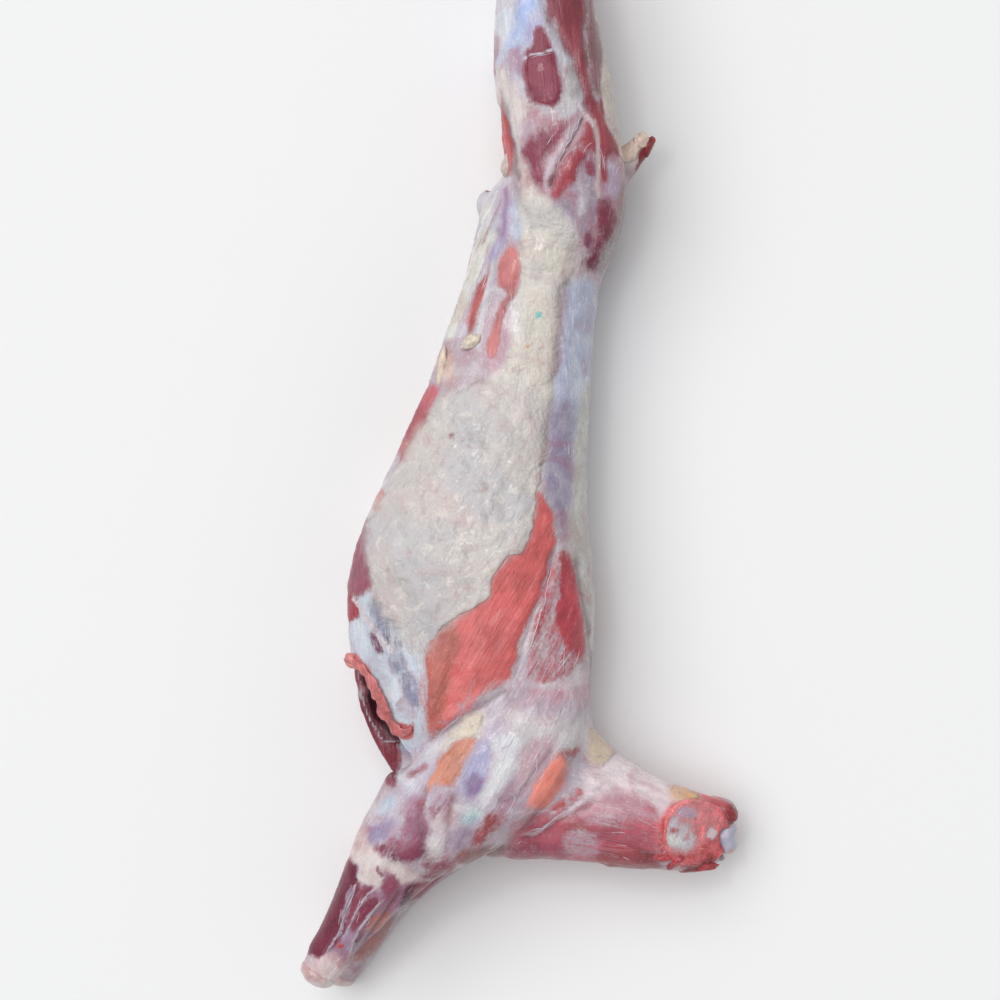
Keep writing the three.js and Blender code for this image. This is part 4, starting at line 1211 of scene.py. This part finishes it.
def faces_inward(mesh, points, normals):
    """1 on the lining of the belly and chest, where most ways out of the surface meet flesh again, else 0."""
    surface_tree = faces_tree(mesh, points)
    x, y, z = points.T / MM
    trunk = (np.abs(z - MID_HEIGHT / MM) < CAVITY_HALF) & (y > CAVITY_ENDS[0]) & (y < CAVITY_ENDS[1])
    trunk &= x < CAVITY_BACK
    inward = np.zeros(len(points))
    tilts = [LOOK_TILT * Vector(t) for t in ((0, 0, 0), (1, 0, 0), (-1, 0, 0), (0, 1, 0), (0, -1, 0))]
    for index in np.where(trunk)[0]:
        normal = Vector(normals[index])
        origin = Vector(points[index]) + normal * 2 * MM
        for tilt in tilts:
            hit = surface_tree.ray_cast(origin, (normal + tilt).normalized(), CAVITY_REACH)[0]
            inward[index] += hit is not None
    return inward / len(tilts)


KNUCKLES = ("upper_fore_knuckle", "lower_fore_knuckle", "upper_hind_knuckle", "lower_hind_knuckle")
carcass = fine_copy(("carcass", *KNUCKLES), "carcass_flesh", VOXEL)
points, normals = as_arrays(carcass.data)
inner = faces_inward(carcass.data, points, normals)
inner = smooth_step(smoothed(carcass.data, inner[:, None], LINING_TURNS)[:, 0], *LINING_SHARES)
points = smoothed(carcass.data, points, SMOOTHING_TURNS)
put_points(carcass.data, points)
points, normals = as_arrays(carcass.data)
on_table = points[:, 2] < PRESSED_FLAT
lift = np.zeros(len(points))
flat = points / MM
for height_mm, width, path in RELIEF:
    gap = distance_to_path(flat[:, :2], rounded(path, closed=False))
    lift += height_mm * np.exp(-(gap / width) ** 2)
for tissue, _, _, _, _, outline in PATCHES:
    if tissue == "muscle":
        lift += MUSCLE_BULGE * smooth_step(depth_inside(flat[:, :2], outline), -1, 8)
lift += uneven(flat, FLESH_LUMPS)
found = tissues(flat, inner)
in_fat = smooth_step(found["cover"], -1, 2)
lift += in_fat * uneven(flat, FAT_LUMPS)
lift = lift * (1 - inner) + RIB_RISE * ribs(flat) * inner
lift[on_table] = 0
points += normals * lift[:, None] * MM
points[:, 2] = np.maximum(points[:, 2], TABLE_GAP)
put_points(carcass.data, points)
store_tissues(carcass.data, found)
carcass.data.materials.append(flesh)
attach(carcass, "root")
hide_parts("carcass")


# --- The fat sheet over the loin and ribs ---------------------------------------------------------
# A layer of lumpy cream fat that lies on the body, two to three millimetres thick. Its lower edge is cut and
# stands up with a thin shadow, and towards the loin and the belly it thins away into the film.

SHEET_CUT = [
    (13, -106), (10, -135), (8, -154), (1, -165), (-2, -172), (-19, -174), (-27, -185), (-37, -199),
    (-38, -221), (-45, -226), (-60, -235), (-74, -241), (-84, -249), (-93, -255), (-98, -264),
    (-107, -274)
]
# The sheet's belly and loin sides, where it thins away
SHEET_FADES = [
    (-111, -286), (-125, -282), (-134, -260), (-157, -225), (-169, -193), (-177, -163), (-171, -130),
    (-157, -100), (-132, -69), (-130, -48), (-110, -23), (-99, -9), (-77, 2), (-27, -1), (24, -29),
    (24, -63)
]
SHEET_EDGE = SHEET_CUT + SHEET_FADES + [(18, -91)]
SHEET_STEP = 2.0
SHEET_THICK = 2.6
SHEET_LUMPS = ((1.8, 22, 31), (1.0, 10, 32), (0.4, 5, 34))
# How the edge of a layer wanders, as rows for uneven, and how deep its underside lies in the flesh
LAYER_ACROSS = ((1.8, 9, 21), (0.9, 4, 23))
LAYER_ALONG = ((1.8, 9, 22), (0.9, 4, 24))
LAYER_SUNK = 1.2 * MM
# Well above the flesh, and about as high as its upper side
OVERHEAD = 400 * MM
UPPER_SIDE = 130 * MM
body = faces_tree(carcass.data, points)


def on_body(plan):
    """The points of the upper side of the flesh over or nearest to points of the plan, with its normals."""
    found = []
    for x, y in plan:
        hit, normal, _, _ = body.ray_cast(Vector((x * MM, y * MM, OVERHEAD)), Vector((0, 0, -1)))
        if hit is None:
            hit, normal, _, _ = body.find_nearest(Vector((x * MM, y * MM, UPPER_SIDE)))
        found.append((*hit, *normal))
    found = np.array(found)
    return found[:, :3], found[:, 3:]


def new_piece(name, corners, faces, material):
    """A smooth mesh piece of the flesh."""
    mesh = bpy.data.meshes.new(name)
    mesh.from_pydata([tuple(c) for c in corners], [], faces)
    mesh.polygons.foreach_set("use_smooth", np.ones(len(mesh.polygons), bool))
    mesh.update()
    piece = bpy.data.objects.new(name, mesh)
    bpy.context.scene.collection.objects.link(piece)
    mesh.materials.append(material)
    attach(piece, "root")
    return piece


def laid_layer(name, outline, step, thickness, material):
    """A layer within an outline that lies on the body. thickness(flat, depth) gives its height in mm above
    the flesh, from the points in mm and how deep inside the outline they are. Also returns those points."""
    path = rounded(outline)
    path = path + wandering(np.pad(path, ((0, 0), (0, 1))), LAYER_ACROSS, LAYER_ALONG)
    low = path.min(0) - 2 * step
    high = path.max(0) + 2 * step
    across = np.arange(low[0], high[0], step)
    along = np.arange(low[1], high[1], step)
    grid = np.stack(np.meshgrid(across, along), -1).reshape(-1, 2)
    depth = depth_inside(grid, path)
    inside = depth > 0
    columns = len(across)
    lowest = [i for i in range(len(grid) - columns - 1) if (i + 1) % columns]
    cells = [(i, i + 1, i + columns + 1, i + columns) for i in lowest]
    cells = [cell for cell in cells if inside[list(cell)].sum() >= 2]
    used = sorted({i for cell in cells for i in cell})
    place_of = {old: new for new, old in enumerate(used)}
    plan = grid[used]
    # Corners of the grid that stick out are drawn in to the outline
    starts = rounded(path)
    ways = np.roll(starts, -1, 0) - starts
    for index in np.where(~inside[used])[0]:
        shares = ((plan[index] - starts) * ways).sum(1) / np.maximum((ways ** 2).sum(1), 1e-9)
        spots = starts + ways * np.clip(shares, 0, 1)[:, None]
        plan[index] = spots[((spots - plan[index]) ** 2).sum(1).argmin()]
    base, normal = on_body(plan)
    thick = thickness(np.hstack([plan, base[:, 2:] / MM]), np.maximum(depth[used], 0))
    top = base + normal * thick[:, None] * MM
    bottom = base - normal * LAYER_SUNK
    count = len(used)
    faces = [tuple(place_of[i] for i in cell) for cell in cells]
    sides = {pair for face in faces for pair in zip(face, face[1:] + face[:1])}
    rim = [(start, end) for start, end in sides if (end, start) not in sides]
    faces += [tuple(i + count for i in reversed(face)) for face in faces]
    faces += [(end, start, start + count, end + count) for start, end in sorted(rim)]
    piece = new_piece(name, np.vstack([top, bottom]), faces, material)
    return piece, np.vstack([top, bottom]) / MM


def sheet_share(flat):
    """1 where the fat sheet is whole, down to 0 along its thin sides."""
    gap = distance_to_path(flat[:, :2], rounded(SHEET_FADES, closed=False))
    return smooth_step(gap + 6 * lumps(flat, 15, 33), 4, 42)


def sheet_thickness(flat, depth):
    whole = sheet_share(flat)
    thick = SHEET_THICK * (1 - np.exp(-(depth + 0.6) / 1.2)) * whole - 0.9 * (1 - whole)
    return thick + uneven(flat, SHEET_LUMPS) * smooth_step(depth, 0, 8) * whole


fat_sheet, flat = laid_layer("fat_sheet", SHEET_EDGE, SHEET_STEP, sheet_thickness, flesh)
found = tissues(flat, np.zeros(len(flat)))
found["cover"] = np.maximum(found["cover"], -1 + 6 * sheet_share(flat))
found["crease_shade"] *= 0
store_tissues(fat_sheet.data, found)


# --- The cut face of the neck ----------------------------------------------------------------------
# Muscle cut straight across where the head came off: bundles seen end on with pale lines between them, a
# bluish film over part of it, and a rim where the outer muscles have drawn back.

BUNDLE_SIZE = 3.846 * MM
GROUP_SIZE = 13.33 * MM
cut_flesh, tree, shader = new_material("muscle cut across the grain")
place = add(tree, "ShaderNodeTexCoord").outputs["Object"]
bundle = add(tree, "ShaderNodeTexVoronoi", {"Vector": place, "Scale": 1 / BUNDLE_SIZE, "Randomness": 1.0},
             feature="DISTANCE_TO_EDGE").outputs["Distance"]
group = add(tree, "ShaderNodeTexVoronoi", {"Vector": place, "Scale": 1 / GROUP_SIZE, "Randomness": 1.0},
            feature="DISTANCE_TO_EDGE").outputs["Distance"]
coarse = noise(COARSE_LUMP, 3.0, 0.6, distortion=0.4)
fine = noise(3.333, 3.0, 0.6)
cut_colour = scale_colour(stored("muscle", "Color"), ramp(noise(11.11, 4.0), 0.3, 0.7, 0.95, 1.55))
cut_colour = blend_colours(ramp(bundle, 0.0, 0.09, 0.2, 0.0), cut_colour, tone("#E3BFBE"))
cut_colour = blend_colours(ramp(group, 0.0, 0.05, 0.22, 0.0), cut_colour, tone("#E7CCCA"))
film_colour = scale_colour(stored("film", "Color"), ramp(fine, 0.3, 0.7, 1.0, 1.18))
film_colour = blend_colours(ramp(coarse, 0.5, 0.65, 0.0, 0.45), film_colour, tone("#CF9BA4"))
fray = calculate("MULTIPLY_ADD", calculate("SUBTRACT", coarse, 0.5), 3.0, stored("bare", "Fac"))
is_bare = ramp(fray, -1.2, 1.2)
cut_colour = blend_colours(is_bare, film_colour, cut_colour)
tree.links.new(cut_colour, shader.inputs["Base Color"])
height = calculate("MULTIPLY_ADD", ramp(bundle, 0.0, 0.2), 0.8, calculate("MULTIPLY", coarse, 2.0))
height = calculate("MULTIPLY_ADD", ramp(group, 0.0, 0.1), 0.6, height)
bump = add(tree, "ShaderNodeBump", {"Height": height, "Strength": 0.7, "Distance": 1.2 * MM})
tree.links.new(bump.outputs[0], shader.inputs["Normal"])
surface(shader, {"Roughness": 0.3, "Coat Weight": 0.3, "Coat Roughness": 0.12, "Subsurface Weight": 0.1,
                 "Subsurface Radius": FLESH_SCATTER})

NECK_FACE = [
    (156, -500), (157, -486), (161, -472), (168, -462), (180, -456), (194, -454), (211, -459), (228, -468),
    (237, -478), (241, -493), (241, -510), (234, -522), (221, -531), (209, -535), (191, -534), (174, -526),
    (162, -513)
]
FACE_STEP = 1.3
FACE_THICK = 0.4
RIM_HEIGHT = 2.6
RIM_WIDTH = 3
FACE_LUMPS = ((0.8, 9, 62), (0.4, 4, 63))


def face_thickness(flat, depth):
    """A raised rim round a slightly hollow cut."""
    rim = RIM_HEIGHT * np.exp(-((depth - RIM_WIDTH) / RIM_WIDTH) ** 2)
    return FACE_THICK + rim * (1 + 0.5 * lumps(flat, 12, 61)) + uneven(flat, FACE_LUMPS)


neck_face, flat = laid_layer("neck_cut_face", NECK_FACE, FACE_STEP, face_thickness, cut_flesh)
found = tissues(flat, np.zeros(len(flat)))
rim_share = smooth_step(-depth_inside(flat[:, :2], NECK_FACE), -7, -2)
found["bare"] = np.maximum(found["bare"], rim_share * 4 - 1)
store_tissues(neck_face.data, found)


# --- Loose threads, strips and tags ----------------------------------------------------------------
# What the knife left: white threads of film that have curled up, the tendons of the foreleg, pale seams
# between muscles, and torn tags of fat and muscle at the cuts.

STRIP_STEP = 2.2
# The most that a strip may drop from one point to the next, in mm
STEEPEST = 3.0


def strip(path, width, height, wander, seed, sides=6, knots=0.0, lean=(0, 0)):
    """The corners and faces of a rounded strip that follows a path over the body and tapers to both ends.
    lean is how far away on the body, in mm, it takes its height from. knots makes it lumpy. Where it would
    hang down into the slit it ends, and what is too short then has no corners."""
    line = rounded(path, 3, closed=False)
    steps = np.concatenate([[0], np.cumsum(np.linalg.norm(np.diff(line, axis=0), axis=1))])
    count = max(6, int(steps[-1] / STRIP_STEP))
    even = np.linspace(0, steps[-1], count)
    plan = np.stack([np.interp(even, steps, line[:, axis]) for axis in (0, 1)], 1)
    sway = np.pad(plan, ((0, 0), (0, 1)))
    plan = plan + wandering(sway, [(wander, 7, seed)], [(wander, 7, seed + 1)])
    base, normal = on_body(plan + lean)
    falls = np.abs(np.diff(base[:, 2])) > STEEPEST * MM
    kept = int(falls.argmax()) + 1 if falls.any() else count
    if kept < 4:
        return np.zeros((0, 3)), []
    base, normal, sway, count = base[:kept], normal[:kept], sway[:kept], kept
    base[:, :2] -= np.array(lean) * MM
    side = np.cross(normal, np.gradient(base, axis=0))
    side /= np.linalg.norm(side, axis=1)[:, None]
    taper = np.sqrt(np.clip(np.sin(np.linspace(0, 1, count) * math.pi), 0.02, 1))
    taper *= 1 + 0.3 * lumps(sway, 5, seed + 2)
    turn = np.arange(sides) / sides * 2 * math.pi
    ring = side[:, None] * np.cos(turn)[None, :, None] * width / 2
    ring = ring + normal[:, None] * (np.sin(turn)[None, :, None] * height + 0.4 * height)
    ring = ring * taper[:, None, None] * MM
    corners = (base[:, None] + ring).reshape(-1, 3)
    bulge = 1 + uneven(corners / MM, [(knots, 6, seed + 3), (knots / 2, 2.5, seed + 4)])
    corners = (base[:, None] + ring * bulge.reshape(count, sides, 1)).reshape(-1, 3)
    faces = [tuple(reversed(range(sides))), tuple(range((count - 1) * sides, count * sides))]
    for first in range(0, (count - 1) * sides, sides):
        for number in range(sides):
            after = (number + 1) % sides
            faces.append((first + number, first + after, first + sides + after, first + sides + number))
    return corners, faces


def all_one_tissue(piece, corners, tissue, colour, seed, bare=FAR / 3):
    """Stores one mottled tissue all over a piece."""
    found = tissues(corners / MM, np.zeros(len(corners)))
    found[tissue] = np.outer(1 + 0.3 * lumps(corners / MM, 4, seed), linear(colour))
    found["crease_shade"] *= 0
    found["cover"] = np.full(len(corners), FAR if tissue == "fat" else -FAR)
    found["bare"] = np.full(len(corners), bare if tissue == "muscle" else -FAR)
    store_tissues(piece.data, found)


def strips_piece(name, strips, tissue, colour, bare=FAR / 3):
    """One piece of flesh made of several strips, all of one tissue and colour."""
    corners = np.vstack([part for part, _ in strips])
    faces = []
    total = 0
    for part, part_faces in strips:
        faces += [tuple(i + total for i in face) for face in part_faces]
        total += len(part)
    piece = new_piece(name, corners, faces, flesh)
    all_one_tissue(piece, corners, tissue, colour, total, bare)


# Lines of film: width, height, path
SEAMS = [
    (0.7, 0.3, [(6, 379), (16, 380), (32, 384)]),
    (1.4, 0.5, [(66, 334), (61, 307), (51, 287), (39, 265), (36, 249)]),
    (1.2, 0.5, [(33, -180), (27, -208), (20, -238), (8, -269), (1, -296), (-14, -317)]),
    (1.2, 0.5, [(3, -489), (23, -482), (40, -468), (59, -459), (76, -451)]),
    (1.1, 0.5, [(-27, -392), (-13, -381), (-7, -373), (2, -360)]),
    (1.2, 0.5, [(-21, -467), (-13, -453), (-9, -444), (-17, -437)]),
    (1.1, 0.5, [(-93, -393), (-97, -379), (-86, -367), (-69, -353)]),
    (1.0, 0.5, [(25, -462), (34, -451), (41, -443), (47, -449)]),
    (1.0, 0.4, [(8, -394), (17, -402), (13, -419), (5, -427)]),
    (0.7, 0.3, [(84, -458), (118, -465), (138, -477), (157, -486)]),
    (1.2, 0.5, [(-21, 237), (-34, 192), (-49, 147), (-64, 102), (-81, 54)]),
    (1.0, 0.4, [(-29, 238), (-47, 191), (-69, 125), (-89, 69)]),
    (1.0, 0.4, [(-39, 221), (-61, 157), (-83, 91), (-106, 28)]),
    (1.2, 0.5, [(-27, 139), (-39, 112), (-41, 78), (-45, 54)]),
    (1.8, 0.7, [(-192, -226), (-177, -246), (-163, -266), (-153, -281), (-147, -292)]),
]
# Where short loose threads lie: middle, spread, way they run in degrees, how many
THREADS = [
    ((-4, 421), 22, 100, 12), ((50, 290), 25, 70, 8), ((90, 250), 18, 90, 6), ((-50, 130), 30, 66, 10),
    ((50, -60), 10, 92, 4), ((-140, -290), 30, 112, 44), ((40, -300), 14, 60, 14), ((-20, -410), 34, 60, 12),
    ((30, -400), 30, 50, 10), ((90, -420), 30, 165, 6), ((-110, -430), 28, 60, 8), ((-20, -480), 26, 20, 6),
    ((120, -490), 40, 168, 5), ((-190, -590), 18, 60, 4), ((75, -200), 8, 95, 8),
]
THREAD_STEP = 4.5
draw = np.random.default_rng(77)
lines_of_film = []
for number, (width, height, path) in enumerate(SEAMS):
    lines_of_film.append(strip(path, width, height, 1.6, 100 + 3 * number))
for middle, spread, way, count in THREADS:
    for _ in range(count):
        start = np.array(middle) + draw.normal(0, spread / 2, 2)
        turn = math.radians(way + draw.normal(0, 9))
        bend = draw.normal(0, 0.06)
        path = [start]
        for _ in range(int(draw.integers(2, 6))):
            path.append(path[-1] + THREAD_STEP * np.array([math.cos(turn), math.sin(turn)]))
            turn += bend + draw.normal(0, 0.12)
        lines_of_film.append(strip(path, draw.uniform(0.5, 0.9), 0.3, 0.6, int(draw.integers(1000))))
strips_piece("film_threads", lines_of_film, "film", "#DAD0D6")

TENDONS = [
    (1.8, 0.8, [(-187, -543), (-194, -562), (-200, -578), (-207, -597), (-216, -614), (-222, -624)]),
    (2.2, 1.0, [(-160, -561), (-170, -575), (-182, -591), (-191, -606), (-196, -626), (-200, -640)]),
    (1.5, 0.6, [(-170, -549), (-180, -561), (-189, -578), (-197, -594), (-204, -608)]),
    (1.3, 0.6, [(-193, -551), (-200, -569), (-205, -585)]),
]
strips_piece("foreleg_tendons", [strip(path, width, height, 0.8, 300 + 5 * number)
                                 for number, (width, height, path) in enumerate(TENDONS)], "film", "#C0ABB0")

# The split edge of the breastbone, a lumpy red lip that rolls over the slit
BREAST_LIP = [
    (-195, -295), (-180, -305), (-170, -320), (-162, -336), (-156, -351), (-149, -365), (-139, -374),
    (-130, -374), (-126, -366)
]
strips_piece("breast_lip", [strip(BREAST_LIP, 15, 1.6, 1.2, 400, sides=20, knots=0.2, lean=(7, 3))],
             "muscle", "#C46C6B", 1.6)

# Tags: tissue, colour, middle, how far above the flesh, half sizes along, across and up, way in degrees
TAGS = [
    ("fat", "#DCCDB8", (-59, 64), 2, (13, 7, 4.5), 30),
    ("fat", "#D8C7B4", (-92, 36), 1, (24, 5, 3), 82),
    ("muscle", "#CE8480", (-193, -296), 0, (11, 8, 6), -25),
    ("muscle", "#B64A50", (158, -520), -4, (13, 7, 8), 10),
    ("muscle", "#A83C44", (175, -529), -5, (12, 6, 9), 30),
    ("fat", "#DDAE96", (180, -533), -5, (5, 3, 6), 100),
    ("fat", "#E2CCBD", (135, 301), -3, (10, 9, 9), 40),
    ("muscle", "#8E383C", (146, 291), -4, (12, 5.5, 9), 62),
    ("muscle", "#A6434B", (205, -538), -5, (22, 6, 8), 5),
    ("film", "#9C8688", (230, -529), -6, (5, 11, 4), 70),
    ("fat", "#D9C0AE", (-30, 270), 0, (16, 8, 4), 75),
]
for number, (tissue, colour, middle, above, sizes, way) in enumerate(TAGS):
    ball = bmesh.new()
    bmesh.ops.create_icosphere(ball, subdivisions=4, radius=1)
    corners = np.array([v.co for v in ball.verts])
    faces = [tuple(v.index for v in f.verts) for f in ball.faces]
    ball.free()
    rough_skin = uneven(corners * 10, [(0.28, 7, 200 + number), (0.12, 3, 230 + number)])
    corners = corners * (1 + rough_skin)[:, None] * sizes
    turn = math.radians(way)
    spin = np.array([[math.cos(turn), math.sin(turn), 0], [-math.sin(turn), math.cos(turn), 0], [0, 0, 1]])
    base, normal = on_body([middle])
    corners = (corners @ spin + normal[0] * above) * MM + base[0]
    tag = new_piece(f"{tissue}_tag_{number + 1}", corners, faces, flesh)
    all_one_tissue(tag, corners, tissue, colour, number)


# --- Bone ends and the neck's gristle -------------------------------------------------------------
# The knuckles left where the feet were cut off, and the pale gristle at the end of the neck. Moist bone
# under a thin pink film, bluish where it is gristle.

bone, tree, shader = new_material("moist bone end and gristle")
place = add(tree, "ShaderNodeTexCoord").outputs["Object"]
bone_colour = blend_colours(ramp(noise(16.67, 4.0), 0.35, 0.65), tone("#C6A0A0"), tone("#D6C9C6"))
bone_colour = blend_colours(ramp(noise(7.143, 3.0), 0.55, 0.7, 0.0, 0.6), bone_colour, tone("#BC8480"))
# The neck's gristle, at the far right, is bluish
at_neck = ramp(add(tree, "ShaderNodeSeparateXYZ", {0: place}).outputs["X"], 100 * MM, 150 * MM)
gristle = calculate("MULTIPLY", at_neck, ramp(noise(20, 2.0), 0.6, 0.45))
bone_colour = blend_colours(gristle, bone_colour, tone("#B0B2C2"))
tree.links.new(bone_colour, shader.inputs["Base Color"])
bump = add(tree, "ShaderNodeBump", {"Height": noise(4.545, 4.0), "Strength": 0.4, "Distance": 1.0 * MM})
tree.links.new(bump.outputs[0], shader.inputs["Normal"])
surface(shader, {"Roughness": 0.32, "Coat Weight": 0.3, "Coat Roughness": 0.15, "Subsurface Weight": 0.1,
                 "Subsurface Radius": (1.0, 0.5, 0.4)})

BONE_VOXEL = 1.6 * MM
BONE_TURNS = 6
BONE_SWELL = 1.3
for number, node in enumerate(("neck_vertebra", *KNUCKLES)):
    piece = fine_copy((node,), node + "_bone", BONE_VOXEL)
    bone_points, _ = as_arrays(piece.data)
    put_points(piece.data, smoothed(piece.data, bone_points, BONE_TURNS))
    bone_points, bone_normals = as_arrays(piece.data)
    swell = BONE_SWELL + uneven(bone_points / MM, [(1.0, 9, 40 + number), (0.4, 4, 50 + number)])
    put_points(piece.data, bone_points + bone_normals * swell[:, None] * MM)
    piece.data.materials.append(bone)
    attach(piece, "root")
    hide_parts(node)
